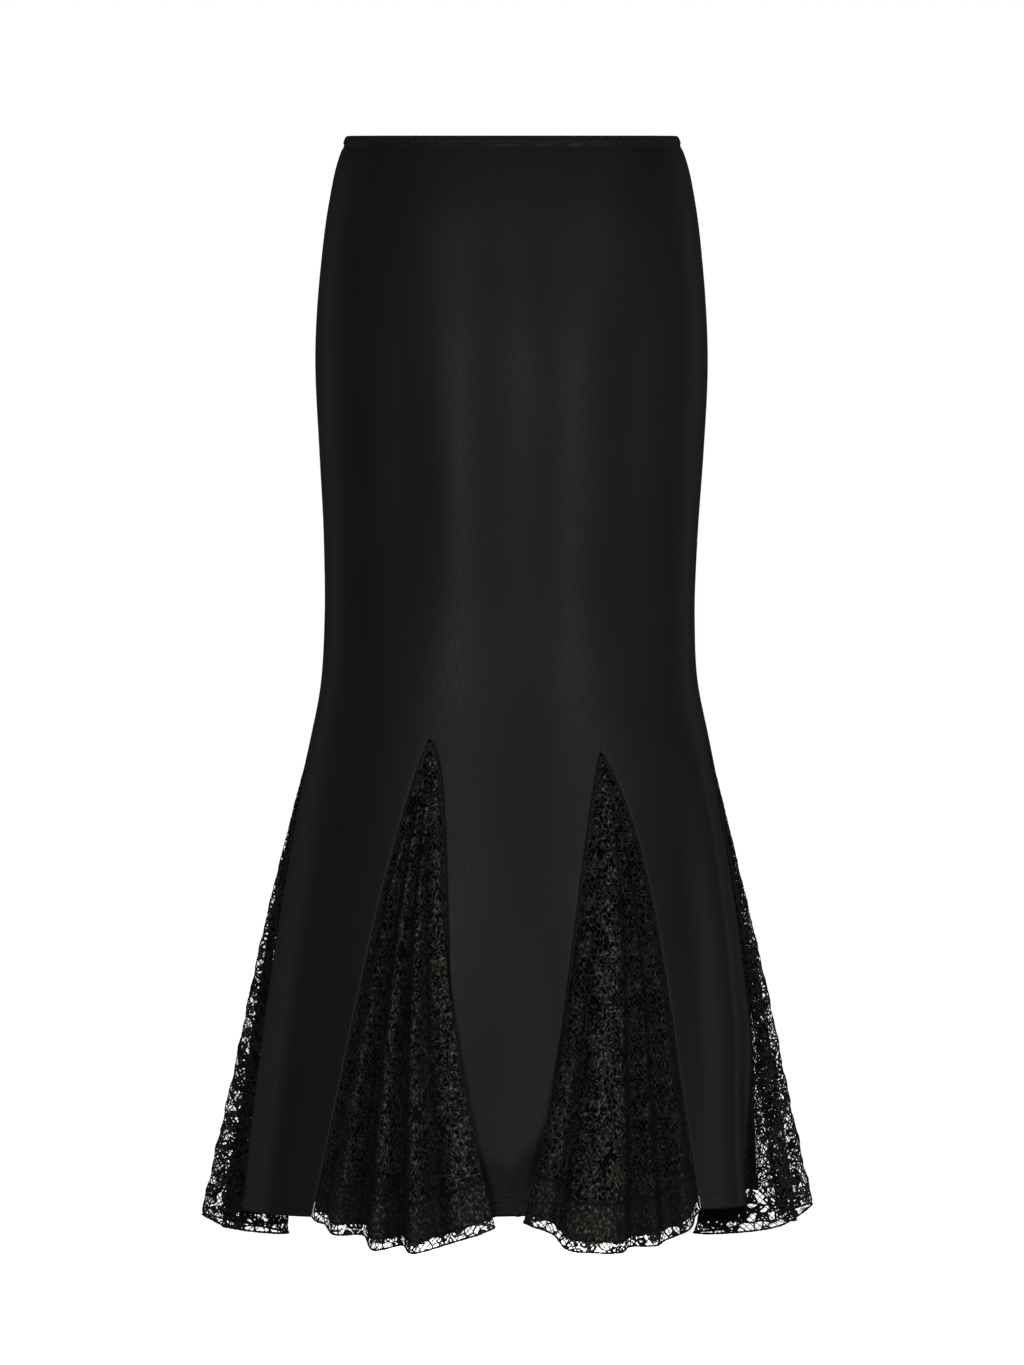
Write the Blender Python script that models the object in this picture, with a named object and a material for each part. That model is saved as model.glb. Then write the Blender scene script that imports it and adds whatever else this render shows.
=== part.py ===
"""Mermaid skirt of black satin with five lace godets, in its worn, filled-out shape.

The skirt hangs from its waist edge. X points to the right of someone who looks at
the front, -Y points to the front and +Z points up. The origin is the middle of the
waist opening, level with its edge at the back. Lengths are in metres.

Every cloth piece is a sheet of points on one body surface, thickened to a wall:
a ring around the body is read from the section table, and soft folds and flutes
push it in and out along its normal.
"""
import math
from collections import namedtuple

import bmesh
import bpy
import numpy as np

# Walls, bands and seams
SATIN_WALL = 0.0016
LACE_WALL = 0.0012
BAND_WALL = 0.0030
BAND_HEIGHT = 0.0070
BAND_SOFTNESS = 0.0009
SEAM_GAP = 0.0003

# Lengths below the waist edge
FRONT_DIP = 0.0094
SIDE_ROUND = 0.20
DIP_DEPTH = 0.150
SATIN_LENGTH = 0.946
HEM_TILT = 0.005
BACK_FALL = 0.033
BACK_SIDE = 0.30

# Side seams, in degrees round from the centre front
LEFT_SEAM = -83.0
RIGHT_SEAM = 79.0

# Half width and depths of the ring at each drop below the waist edge, and how far
# the ring sways to the right
Section = namedtuple("Section", "drop half_width front_depth back_depth sway")
SECTIONS = (
    Section(0.000, 0.1465, 0.086, 0.092, 0.0000),
    Section(0.025, 0.1555, 0.092, 0.101, 0.0000),
    Section(0.058, 0.1625, 0.098, 0.112, 0.0000),
    Section(0.120, 0.1700, 0.104, 0.124, 0.0000),
    Section(0.191, 0.1737, 0.108, 0.128, -0.0003),
    Section(0.280, 0.1705, 0.105, 0.118, -0.0007),
    Section(0.360, 0.1660, 0.101, 0.108, -0.0012),
    Section(0.430, 0.1642, 0.098, 0.102, -0.0020),
    Section(0.486, 0.1670, 0.099, 0.102, -0.0024),
    Section(0.535, 0.1760, 0.104, 0.107, -0.0016),
    Section(0.592, 0.1870, 0.112, 0.117, -0.0010),
    Section(0.676, 0.2035, 0.126, 0.134, -0.0010),
    Section(0.765, 0.2190, 0.141, 0.153, -0.0010),
    Section(0.841, 0.2310, 0.154, 0.169, -0.0010),
    Section(0.914, 0.2430, 0.166, 0.184, -0.0008),
    Section(0.990, 0.2560, 0.179, 0.199, -0.0006),
)

# Soft folds of the whole body: each begins at top, is full at full and is gone at
# gone; its angle runs from top_angle to hem_angle, and its width is in degrees.
NEVER = 9.0
Fold = namedtuple("Fold", "top full gone top_angle hem_angle width height")
FOLDS = (
    Fold(0.00, 0.16, 0.52, -2.0, -1.0, 7.0, -0.0026),
    Fold(0.10, 0.28, 0.60, -15.0, -16.0, 10.0, 0.0024),
    Fold(0.10, 0.28, 0.60, 15.0, 16.0, 10.0, 0.0026),
    Fold(0.06, 0.25, 0.62, -34.0, -37.0, 9.0, -0.0026),
    Fold(0.06, 0.25, 0.62, 37.0, 39.0, 9.0, -0.0026),
    Fold(0.62, 0.94, NEVER, 0.0, 0.0, 16.0, -0.0150),
    Fold(0.48, 0.80, NEVER, 70.0, 50.0, 7.0, 0.0090),
    Fold(0.50, 0.64, 0.96, 56.0, 42.0, 7.0, -0.0040),
    Fold(0.78, 0.97, NEVER, 66.0, 66.0, 9.0, -0.0250),
    Fold(0.55, 0.90, NEVER, -60.0, -56.0, 9.0, 0.0050),
    Fold(0.49, 0.60, 0.90, -93.0, -93.0, 12.0, 0.0030),
    Fold(0.52, 0.85, NEVER, -128.0, -122.0, 8.0, 0.0080),
    Fold(0.52, 0.88, NEVER, 124.0, 126.0, 9.0, 0.0060),
)

# Godets: the slash opens from its tip to two hem angles. Ease below 1 opens it
# early, and ease above 1 opens it late. Point is the part of the seam's length over
# which an early opening starts straight, so that the tip is sharp.
Godet = namedtuple("Godet", "name tip_drop tip_angle near far near_ease far_ease near_point far_point flutes")

# Flutes of a godet at its hem, a row for each ridge, valley or turn of the cloth.
# along is the place between the near seam (0) and the far seam (1), out is the
# height over the body surface, drop is how far the lace hangs below the satin, and
# start is the part of the godet's height above which the row lies flat.
Flute = namedtuple("Flute", "along out drop start")
SEAM_STRIP = 0.020
LEFT_FRONT_FLUTES = (
    Flute(0.000, 0.0000, 0.000, 0.00),
    Flute(SEAM_STRIP, 0.0000, 0.001, 0.00),
    Flute(0.036, 0.0042, 0.002, 0.05),
    Flute(-0.046, 0.0078, 0.003, 0.05),
    Flute(-0.170, 0.0118, 0.004, 0.05),
    Flute(-0.245, 0.0175, 0.005, 0.05),
    Flute(-0.165, 0.0240, 0.010, 0.05),
    Flute(-0.035, 0.0185, 0.016, 0.05),
    Flute(0.085, 0.0050, 0.022, 0.10),
    Flute(0.215, 0.0215, 0.026, 0.00),
    Flute(0.345, -0.0040, 0.022, 0.00),
    Flute(0.460, 0.0200, 0.024, 0.00),
    Flute(0.630, -0.0090, 0.014, 0.00),
    Flute(0.760, 0.0140, 0.012, 0.00),
    Flute(0.890, 0.0010, 0.005, 0.05),
    Flute(1.0 - SEAM_STRIP, 0.0000, 0.002, 0.00),
    Flute(1.000, 0.0000, 0.000, 0.00),
)
RIGHT_FRONT_FLUTES = (
    Flute(0.000, 0.0000, 0.000, 0.00),
    Flute(SEAM_STRIP, 0.0000, 0.001, 0.00),
    Flute(0.038, 0.0042, 0.002, 0.05),
    Flute(-0.024, 0.0068, 0.003, 0.05),
    Flute(-0.085, 0.0108, 0.004, 0.05),
    Flute(-0.040, 0.0165, 0.007, 0.05),
    Flute(0.035, 0.0170, 0.011, 0.05),
    Flute(0.088, 0.0090, 0.016, 0.05),
    Flute(0.130, 0.0210, 0.025, 0.05),
    Flute(0.270, 0.0320, 0.028, 0.00),
    Flute(0.420, 0.0240, 0.029, 0.00),
    Flute(0.520, 0.0020, 0.027, 0.00),
    Flute(0.630, 0.0150, 0.026, 0.00),
    Flute(0.730, -0.0010, 0.024, 0.00),
    Flute(0.860, 0.0150, 0.013, 0.00),
    Flute(0.940, 0.0040, 0.004, 0.05),
    Flute(1.0 - SEAM_STRIP, 0.0000, 0.002, 0.00),
    Flute(1.000, 0.0000, 0.000, 0.00),
)
LEFT_SIDE_FLUTES = (
    Flute(0.000, 0.0000, 0.000, 0.00),
    Flute(SEAM_STRIP, 0.0000, 0.001, 0.00),
    Flute(0.110, -0.0050, 0.008, 0.05),
    Flute(0.260, -0.0550, 0.024, 0.38),
    Flute(0.400, 0.0000, 0.019, 0.05),
    Flute(0.520, 0.0250, 0.010, 0.00),
    Flute(0.660, -0.0140, 0.022, 0.05),
    Flute(0.820, 0.0150, 0.022, 0.00),
    Flute(0.920, 0.0010, 0.008, 0.05),
    Flute(1.0 - SEAM_STRIP, 0.0000, 0.002, 0.00),
    Flute(1.000, 0.0000, 0.000, 0.00),
)
RIGHT_SIDE_FLUTES = (
    Flute(0.000, 0.0000, 0.000, 0.00),
    Flute(SEAM_STRIP, 0.0000, 0.001, 0.00),
    Flute(0.080, -0.0060, 0.012, 0.05),
    Flute(0.170, -0.0750, 0.032, 0.50),
    Flute(0.290, -0.0040, 0.022, 0.10),
    Flute(0.450, 0.0190, 0.006, 0.00),
    Flute(0.620, -0.0120, 0.020, 0.05),
    Flute(0.800, 0.0150, 0.024, 0.00),
    Flute(0.920, 0.0010, 0.008, 0.05),
    Flute(1.0 - SEAM_STRIP, 0.0000, 0.002, 0.00),
    Flute(1.000, 0.0000, 0.000, 0.00),
)
BACK_FLUTES = (
    Flute(0.000, 0.0000, 0.000, 0.00),
    Flute(SEAM_STRIP, 0.0000, 0.001, 0.00),
    Flute(0.060, 0.0180, 0.001, 0.05),
    Flute(0.200, 0.0200, 0.002, 0.00),
    Flute(0.310, -0.0090, 0.003, 0.00),
    Flute(0.470, 0.0240, 0.003, 0.00),
    Flute(0.600, -0.0110, 0.003, 0.00),
    Flute(0.740, 0.0220, 0.002, 0.00),
    Flute(0.860, 0.0020, 0.002, 0.00),
    Flute(0.940, 0.0110, 0.001, 0.05),
    Flute(1.0 - SEAM_STRIP, 0.0000, 0.001, 0.00),
    Flute(1.000, 0.0000, 0.000, 0.00),
)
GODETS = (
    Godet("godet_front_left", 0.535, -23.5, -11.1, -43.7, 0.44, 0.60, 0.02, 0.08, LEFT_FRONT_FLUTES),
    Godet("godet_front_right", 0.547, 26.3, 5.5, 41.2, 0.68, 0.22, 0.10, 0.13, RIGHT_FRONT_FLUTES),
    Godet("godet_side_left", 0.527, LEFT_SEAM, -71.0, -111.0, 1.50, 0.80, 0.02, 0.02, LEFT_SIDE_FLUTES),
    Godet("godet_side_right", 0.527, RIGHT_SEAM, 64.0, 117.0, 1.10, 0.80, 0.02, 0.02, RIGHT_SIDE_FLUTES),
    Godet("godet_back", 0.540, 182.0, 172.0, 192.5, 0.60, 0.55, 0.04, 0.04, BACK_FLUTES),
)
FLUTE_GROWTH = 1.15

# Rows and columns of the sheets
BODY_ROWS = (0.030, 0.058, 0.090, 0.130, 0.180, 0.240, 0.300, 0.360, 0.420, 0.470, 0.505)
TONGUE_ROWS = (0.03, 0.09, 0.18, 0.28, 0.39, 0.51, 0.63, 0.76, 0.88, 1.00)
FRONT_COLUMNS = 6
BACK_COLUMNS = 9
LACE_COLUMN = 0.0150
BAND_SEGMENTS = 44
APEX_DROP = 0.0010
APEX_SHARE = 0.12
MEASURE_POINTS = 40

# Windows cut through the lace
FIRST_WINDOW_ROW = 4
WINDOW_REPEAT = 2
WINDOW_MINIMUM = 0.0070
WINDOW_WIDTH = 0.0085
WINDOW_HEIGHT = 0.0140
WINDOW_POINTS = 6
WINDOW_SHARE = 0.62
WINDOW_SCATTER = 0.12
SCATTER_STEP = 2.1

# Colours as linear red, green and blue
SATIN_BLACK = (0.014, 0.013, 0.012, 1.0)
LACE_BLACK = (0.006, 0.006, 0.006, 1.0)


def through_rows(knots, values, where):
    """A smooth curve through table rows; the slope at a row comes from its neighbours."""
    knots = np.asarray(knots, float)
    values = np.asarray(values, float)
    slopes = np.gradient(values, knots)
    row = np.clip(np.searchsorted(knots, where) - 1, 0, len(knots) - 2)
    step = knots[row + 1] - knots[row]
    s = (where - knots[row]) / step
    rise = values[row + 1] - values[row]
    first = slopes[row] * step
    last = slopes[row + 1] * step
    bend = first * (1 - s) - last * s - rise * (1 - 2 * s)
    return values[row] + rise * s + s * (1 - s) * bend


def section_value(column, drop):
    """A column of the section table at a drop."""
    drops = [section.drop for section in SECTIONS]
    return through_rows(drops, [getattr(section, column) for section in SECTIONS], drop)


def smoothstep(start, full, where):
    """0 before start, 1 after full, and an even S between them."""
    s = np.clip((where - start) / (full - start), 0.0, 1.0)
    return s * s * (3 - 2 * s)


def ring_size(drop, angle):
    """Half width of the ring, and its depth on the front or back side."""
    half = section_value("half_width", drop)
    front = section_value("front_depth", drop)
    back = section_value("back_depth", drop)
    return half, np.where(np.cos(angle) > 0, front, back)


def fold_height(drop, angle):
    """Sum of the soft folds: each is a rounded bump or trough of its own width."""
    total = np.zeros(np.broadcast(drop, angle).shape)
    for fold in FOLDS:
        grown = smoothstep(fold.top, fold.full, drop)
        if fold.gone < NEVER:
            grown = grown * (1 - smoothstep(fold.full, fold.gone, drop))
        share = np.clip((drop - fold.top) / (SATIN_LENGTH - fold.top), 0.0, 1.0)
        middle = fold.top_angle + (fold.hem_angle - fold.top_angle) * share
        apart = (np.degrees(angle) - middle + 180.0) % 360.0 - 180.0
        total = total + fold.height * grown * np.exp(-(apart / fold.width) ** 2)
    return total


def body_point(drop, angle, out=0.0):
    """Points on the body surface at a drop and an angle, moved out along the normal."""
    drop, angle = np.broadcast_arrays(drop, angle)
    half, depth = ring_size(drop, angle)
    sine = np.sin(angle)
    cosine = np.cos(angle)
    normal = np.stack([sine / half, -cosine / depth])
    normal = normal / np.hypot(normal[0], normal[1])
    away = fold_height(drop, angle) + out
    forward = (cosine + np.hypot(cosine, SIDE_ROUND)) / 2
    dip = FRONT_DIP * forward * (1 - smoothstep(0.0, DIP_DEPTH, drop))
    x = section_value("sway", drop) + half * sine + normal[0] * away
    y = -depth * cosine + normal[1] * away
    return np.stack([x, y, -drop - dip], axis=-1)


def arc_angle(drop, angle, length):
    """The angle that a short length along the ring spans."""
    half, depth = ring_size(drop, angle)
    return length / np.hypot(half * np.cos(angle), depth * np.sin(angle))


def satin_hem(angle):
    """Drop of the satin's hem, a little lower on the left and lowest at the back."""
    fall = BACK_FALL * smoothstep(BACK_SIDE, 1.0, -np.cos(angle))
    return SATIN_LENGTH - HEM_TILT * np.sin(angle) + fall


def seam(godet, far_side, share):
    """Drop and angle of a godet's near or far seam at a share of the seam's length."""
    hem_angle, ease, point = godet.near, godet.near_ease, godet.near_point
    if far_side:
        hem_angle, ease, point = godet.far, godet.far_ease, godet.far_point
    opened = share ** ease * (1 - np.exp(-share / point)) ** max(1 - ease, 0.0)
    drop = godet.tip_drop + share * (satin_hem(math.radians(hem_angle)) - godet.tip_drop)
    return drop, math.radians(godet.tip_angle + (hem_angle - godet.tip_angle) * opened)


def thicken(name, points, faces, wall, material):
    """One object: the sheet of points, thickened half to each side."""
    mesh = bpy.data.meshes.new(name)
    mesh.from_pydata([tuple(point) for point in points], [], faces)
    mesh.update()
    piece = bpy.data.objects.new(name, mesh)
    bpy.context.collection.objects.link(piece)
    shell = piece.modifiers.new("Wall", "SOLIDIFY")
    shell.thickness = wall
    shell.offset = 0.0
    mesh.materials.append(material)
    mesh.shade_smooth()
    return piece


class Sheet:
    """Points and faces of a sheet as it is being built."""

    def __init__(self):
        self.points = []
        self.faces = []

    def add(self, rows):
        """Adds an array of points, rows by columns, and gives their numbers."""
        start = len(self.points)
        self.points.extend(rows.reshape(-1, 3))
        return start + np.arange(rows.shape[0] * rows.shape[1]).reshape(rows.shape[:2])

    def fill(self, numbers):
        """Fills a grid of point numbers with quads that face out."""
        for upper, lower in zip(numbers[:-1], numbers[1:]):
            for c in range(len(upper) - 1):
                self.faces.append((upper[c], lower[c], lower[c + 1], upper[c + 1]))


def tongue_edge(godet, side, share):
    """Drop and angle of a tongue's edge, half a seam gap from the godet's seam.

    side is 1 for the tongue that follows the godet round the body, -1 for the one before.
    """
    far_side = (godet.far > godet.near) == (side > 0)
    drop, angle = seam(godet, far_side, share)
    return drop, angle + side * arc_angle(drop, angle, SEAM_GAP / 2)


def unwrapped(angle, first):
    """The same direction, counted on from the first angle."""
    return angle + math.tau if angle < first - math.pi / 2 else angle


def ring_row(ends, columns):
    """A row of points whose drop and angle run evenly between each pair of ends."""
    drops = [np.linspace(a[0], b[0], n + 1) for a, b, n in zip(ends[:-1], ends[1:], columns)]
    angles = [np.linspace(a[1], b[1], n + 1) for a, b, n in zip(ends[:-1], ends[1:], columns)]
    drop = np.concatenate([drops[0]] + [part[1:] for part in drops[1:]])
    angle = np.concatenate([angles[0]] + [part[1:] for part in angles[1:]])
    return body_point(drop, angle)


def panel(name, edges, columns, material):
    """A satin panel between two side godets, parted into tongues by its slashes."""
    first_side, *slashes, last_side = edges
    start = math.radians(first_side.tip_angle)

    def end_at(godet, side, share, drop=None):
        own_drop, angle = tongue_edge(godet, side, share)
        return (own_drop if drop is None else drop, unwrapped(angle, start))

    def tip(godet):
        return (godet.tip_drop, unwrapped(math.radians(godet.tip_angle), start))

    sheet = Sheet()
    rows = []
    for drop in (BAND_HEIGHT + SEAM_GAP,) + BODY_ROWS:
        ends = [end_at(first_side, 1, 0.0, drop)]
        ends += [(drop, tip(slash)[1]) for slash in slashes]
        ends.append(end_at(last_side, -1, 0.0, drop))
        rows.append(ring_row(ends, columns))
    tips = [end_at(first_side, 1, 0.0)] + [tip(slash) for slash in slashes]
    tips.append(end_at(last_side, -1, 0.0))
    rows.append(ring_row(tips, columns))
    body = sheet.add(np.array(rows))
    sheet.fill(body)
    for tongue in range(len(columns)):
        before, after = edges[tongue:tongue + 2]
        grid = []
        for share in TONGUE_ROWS:
            ends = (end_at(before, 1, share), end_at(after, -1, share))
            grid.append(ring_row(ends, columns[tongue:tongue + 1]))
        numbers = sheet.add(np.array(grid))
        first = sum(columns[:tongue])
        above = body[-1, first:first + columns[tongue] + 1]
        sheet.fill(np.vstack([above, numbers]))
    return thicken(name, sheet.points, sheet.faces, SATIN_WALL, material)


def hem_width(godet):
    """Length of the body surface between a godet's two seams at the hem."""
    drops, angles = zip(seam(godet, False, 1.0), seam(godet, True, 1.0))
    along = np.linspace(0.0, 1.0, MEASURE_POINTS)
    points = body_point(drops[0] + (drops[1] - drops[0]) * along,
                        angles[0] + (angles[1] - angles[0]) * along)
    return float(np.sum(np.linalg.norm(np.diff(points, axis=0), axis=1)))


def flute_columns(godet):
    """The flute table as columns of cloth: their flat place, along, out, drop and start."""
    table = np.array(godet.flutes)
    plan = table[:, :2] * (hem_width(godet), 1.0)
    reach = np.hypot(*np.diff(plan, axis=0).T)
    cloth = np.concatenate([[0.0], np.cumsum(reach)])
    places = [0.0]
    for k, length in enumerate(reach):
        count = max(1, round(length / LACE_COLUMN))
        places.extend(np.linspace(cloth[k], cloth[k + 1], count + 1)[1:])
    columns = [through_rows(cloth, table[:, c], np.array(places)) for c in range(table.shape[1])]
    inner = (np.array(places) - cloth[1]) / (cloth[-2] - cloth[1])
    flat = SEAM_STRIP + (1 - 2 * SEAM_STRIP) * inner
    flat[0], flat[-1] = 0.0, 1.0
    return flat, columns


def lace_points(godet):
    """Points of a godet, rows by columns: flat at its tip, fluted at its hem."""
    flat, (along, out, drop, start) = flute_columns(godet)
    turned = math.copysign(1.0, godet.far - godet.near)
    rows = []
    for share in TONGUE_ROWS:
        grown = np.clip((share - start) / (1 - start), 0.0, 1.0) ** FLUTE_GROWTH
        place = flat + (along - flat) * grown
        near_drop, near = seam(godet, False, share)
        far_drop, far = seam(godet, True, share)
        near = near + turned * arc_angle(near_drop, near, SEAM_GAP / 2)
        far = far - turned * arc_angle(far_drop, far, SEAM_GAP / 2)
        drops = near_drop + (far_drop - near_drop) * flat + drop * share
        rows.append(body_point(drops, near + (far - near) * place, out * grown))
    turn = math.radians(godet.tip_angle)
    apex = body_point(godet.tip_drop + APEX_DROP, turn)
    rows.insert(0, apex + (rows[0] - apex) * APEX_SHARE)
    return np.array(rows)


def window_here(row, column, columns):
    """Windows sit in every second cell of a row, as on a chequerboard, off the seams."""
    inside = 1 < column < columns - 2
    return inside and row >= FIRST_WINDOW_ROW and (column + row) % WINDOW_REPEAT == 0


def godet_sheet(godet, material):
    """A lace godet whose larger gaps are cut through."""
    points = lace_points(godet)
    sheet = Sheet()
    numbers = sheet.add(points)
    last_column = numbers.shape[1] - 1
    count = 0
    for r in range(numbers.shape[0] - 1):
        for c in range(last_column):
            cell = (numbers[r, c], numbers[r + 1, c], numbers[r + 1, c + 1], numbers[r, c + 1])
            corners = np.array([sheet.points[number] for number in cell])
            across = np.linalg.norm(corners[3] - corners[0] + corners[2] - corners[1]) / 2
            if window_here(r, c, last_column) and across > WINDOW_MINIMUM:
                cut_window(sheet, cell, corners, across, r + c)
                count += 1
            else:
                sheet.faces.append(cell)
    print(godet.name, "windows:", count)
    return thicken(godet.name, sheet.points, sheet.faces, LACE_WALL, material)


def cut_window(sheet, cell, corners, across, shift):
    """Replaces a cell by triangles round a six-sided leaf-shaped window."""
    tall = np.linalg.norm(corners[1] - corners[0] + corners[2] - corners[3]) / 2
    half_across = min(WINDOW_WIDTH / across, WINDOW_SHARE) / 2
    half_tall = min(WINDOW_HEIGHT / tall, WINDOW_SHARE) / 2
    middle = 0.5 + WINDOW_SCATTER * math.sin(SCATTER_STEP * shift)
    ring = []
    for k in range(WINDOW_POINTS):
        turn = math.tau * k / WINDOW_POINTS
        u = 0.5 + half_across * math.sin(turn)
        v = middle - half_tall * math.cos(turn)
        upper = corners[0] * (1 - u) + corners[3] * u
        lower = corners[1] * (1 - u) + corners[2] * u
        ring.append(upper * (1 - v) + lower * v)
    hole = sheet.add(np.array([ring]))[0]
    top_left, low_left, low_right, top_right = cell
    sheet.faces.extend((
        (top_right, top_left, hole[0]),
        (hole[1], top_right, hole[0]),
        (hole[2], top_right, hole[1]),
        (low_right, top_right, hole[2]),
        (hole[3], low_right, hole[2]),
        (low_left, low_right, hole[3]),
        (hole[4], low_left, hole[3]),
        (hole[5], low_left, hole[4]),
        (top_left, low_left, hole[5]),
        (hole[0], top_left, hole[5]),
    ))


def waistband(material):
    """The narrow elastic casing: a closed ring with a softly rounded section."""
    half_wall = BAND_WALL / 2
    flat_wall = half_wall - BAND_SOFTNESS
    section = (
        (-half_wall, BAND_SOFTNESS),
        (-flat_wall, 0.0),
        (flat_wall, 0.0),
        (half_wall, BAND_SOFTNESS),
        (half_wall, BAND_HEIGHT - BAND_SOFTNESS),
        (flat_wall, BAND_HEIGHT),
        (-flat_wall, BAND_HEIGHT),
        (-half_wall, BAND_HEIGHT - BAND_SOFTNESS),
    )
    angles = np.linspace(0.0, math.tau, BAND_SEGMENTS, endpoint=False)
    ring_mesh = bmesh.new()
    rings = []
    for out, drop in section:
        points = body_point(np.full(angles.shape, drop), angles, out)
        rings.append([ring_mesh.verts.new(tuple(point)) for point in points])
    for k, ring in enumerate(rings):
        following = rings[(k + 1) % len(rings)]
        for a in range(BAND_SEGMENTS):
            b = (a + 1) % BAND_SEGMENTS
            ring_mesh.faces.new((ring[a], following[a], following[b], ring[b]))
    bmesh.ops.recalc_face_normals(ring_mesh, faces=ring_mesh.faces)
    mesh = bpy.data.meshes.new("waistband")
    ring_mesh.to_mesh(mesh)
    ring_mesh.free()
    mesh.materials.append(material)
    mesh.shade_smooth()
    piece = bpy.data.objects.new("waistband", mesh)
    bpy.context.collection.objects.link(piece)
    return piece


def cloth_material(name, colour, roughness):
    """A plain Principled material in the cloth's colour."""
    material = bpy.data.materials.new(name)
    material.use_nodes = True
    shader = material.node_tree.nodes["Principled BSDF"]
    shader.inputs["Base Color"].default_value = colour
    shader.inputs["Roughness"].default_value = roughness
    shader.inputs["Metallic"].default_value = 0.0
    return material


def build():
    """Clears the scene and makes the band, both panels and the five godets."""
    for old in list(bpy.data.objects):
        bpy.data.objects.remove(old)
    front_left, front_right, side_left, side_right, back = GODETS
    waistband(cloth_material("waistband_satin", SATIN_BLACK, 0.45))
    panel("front", (side_left, front_left, front_right, side_right), (FRONT_COLUMNS,) * 3,
          cloth_material("front_satin", SATIN_BLACK, 0.45))
    panel("back", (side_right, back, side_left), (BACK_COLUMNS,) * 2,
          cloth_material("back_satin", SATIN_BLACK, 0.45))
    for godet in GODETS:
        godet_sheet(godet, cloth_material(godet.name + "_lace", LACE_BLACK, 0.7))


build()
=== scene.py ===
# %% [markdown]
# # A mermaid skirt of black satin and lace
#
# The skirt is a close tube of satin to the knee. Below that it is slashed, and a
# fan of lace is set into each slash and into the open end of each side seam.
# Such a fan is called a godet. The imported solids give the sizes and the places.
# Each piece here is a finer surface on the same formulas, with its own finish.

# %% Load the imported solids
import math
from collections import namedtuple

import bpy
import numpy as np
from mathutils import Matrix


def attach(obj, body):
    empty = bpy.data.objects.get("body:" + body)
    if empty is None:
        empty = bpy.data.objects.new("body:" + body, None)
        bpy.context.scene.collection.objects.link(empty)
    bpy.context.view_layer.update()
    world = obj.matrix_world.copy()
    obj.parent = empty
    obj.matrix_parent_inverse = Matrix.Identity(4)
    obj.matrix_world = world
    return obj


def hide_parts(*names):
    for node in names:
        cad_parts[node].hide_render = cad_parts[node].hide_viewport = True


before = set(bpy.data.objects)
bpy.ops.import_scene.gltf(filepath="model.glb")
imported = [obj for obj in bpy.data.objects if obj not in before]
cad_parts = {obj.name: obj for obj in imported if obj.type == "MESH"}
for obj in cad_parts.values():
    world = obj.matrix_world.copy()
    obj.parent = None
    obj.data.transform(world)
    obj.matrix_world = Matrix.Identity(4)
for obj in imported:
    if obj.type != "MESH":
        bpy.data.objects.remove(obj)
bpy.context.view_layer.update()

print("solids:", sorted(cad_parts))

# %% [markdown]
# ## The body surface
#
# On the real skirt, one cut fits all the cloth to one shape: narrow at the waist
# and knee, wide at the hip and hem. It could be sculpted, or cloth could be
# simulated over a figure. A formula was chosen, because the satin and the lace
# then meet along one seam line, however fine each mesh is.

# %% Ring sizes at each drop below the waist edge
Section = namedtuple("Section", "drop half_width front_depth back_depth sway")
SECTIONS = [Section(*row) for row in (
    (0.000, 0.1465, 0.086, 0.092, 0.0000), (0.025, 0.1555, 0.092, 0.101, 0.0000),
    (0.058, 0.1625, 0.098, 0.112, 0.0000), (0.120, 0.1700, 0.104, 0.124, 0.0000),
    (0.191, 0.1737, 0.108, 0.128, -0.0003), (0.280, 0.1705, 0.105, 0.118, -0.0007),
    (0.360, 0.1660, 0.101, 0.108, -0.0012), (0.430, 0.1642, 0.098, 0.102, -0.0020),
    (0.486, 0.1670, 0.099, 0.102, -0.0024), (0.535, 0.1760, 0.104, 0.107, -0.0016),
    (0.592, 0.1870, 0.112, 0.117, -0.0010), (0.676, 0.2035, 0.126, 0.134, -0.0010),
    (0.765, 0.2190, 0.141, 0.153, -0.0010), (0.841, 0.2310, 0.154, 0.169, -0.0010),
    (0.914, 0.2430, 0.166, 0.184, -0.0008), (0.990, 0.2560, 0.179, 0.199, -0.0006),
)]
BAND_HEIGHT = 0.0070
SEAM_GAP = 0.0003
FRONT_DIP = 0.0094
DIP_DEPTH = 0.150
SIDE_ROUND = 0.20
SATIN_LENGTH = 0.946
HEM_TILT = 0.005
BACK_FALL = 0.033
BACK_SIDE = 0.30
LEFT_SEAM, RIGHT_SEAM = -83.0, 79.0
print("rings:", len(SECTIONS))

# %% Soft folds of the whole body
NEVER = 9.0
Fold = namedtuple("Fold", "top full gone top_angle hem_angle width height")
FOLDS = (
    Fold(0.00, 0.16, 0.52, -2.0, -1.0, 7.0, -0.0026),
    Fold(0.10, 0.28, 0.60, -15.0, -16.0, 10.0, 0.0024),
    Fold(0.10, 0.28, 0.60, 15.0, 16.0, 10.0, 0.0026),
    Fold(0.06, 0.25, 0.62, -34.0, -37.0, 9.0, -0.0026),
    Fold(0.06, 0.25, 0.62, 37.0, 39.0, 9.0, -0.0026),
    Fold(0.62, 0.94, NEVER, 0.0, 0.0, 16.0, -0.0150),
    Fold(0.48, 0.80, NEVER, 70.0, 50.0, 7.0, 0.0090),
    Fold(0.50, 0.64, 0.96, 56.0, 42.0, 7.0, -0.0040),
    Fold(0.78, 0.97, NEVER, 66.0, 66.0, 9.0, -0.0250),
    Fold(0.55, 0.90, NEVER, -60.0, -56.0, 9.0, 0.0050),
    Fold(0.49, 0.60, 0.90, -93.0, -93.0, 12.0, 0.0030),
    Fold(0.52, 0.85, NEVER, -128.0, -122.0, 8.0, 0.0080),
    Fold(0.52, 0.88, NEVER, 124.0, 126.0, 9.0, 0.0060),
)
print("folds:", len(FOLDS))

# %% The surface as a function of drop and angle


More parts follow.
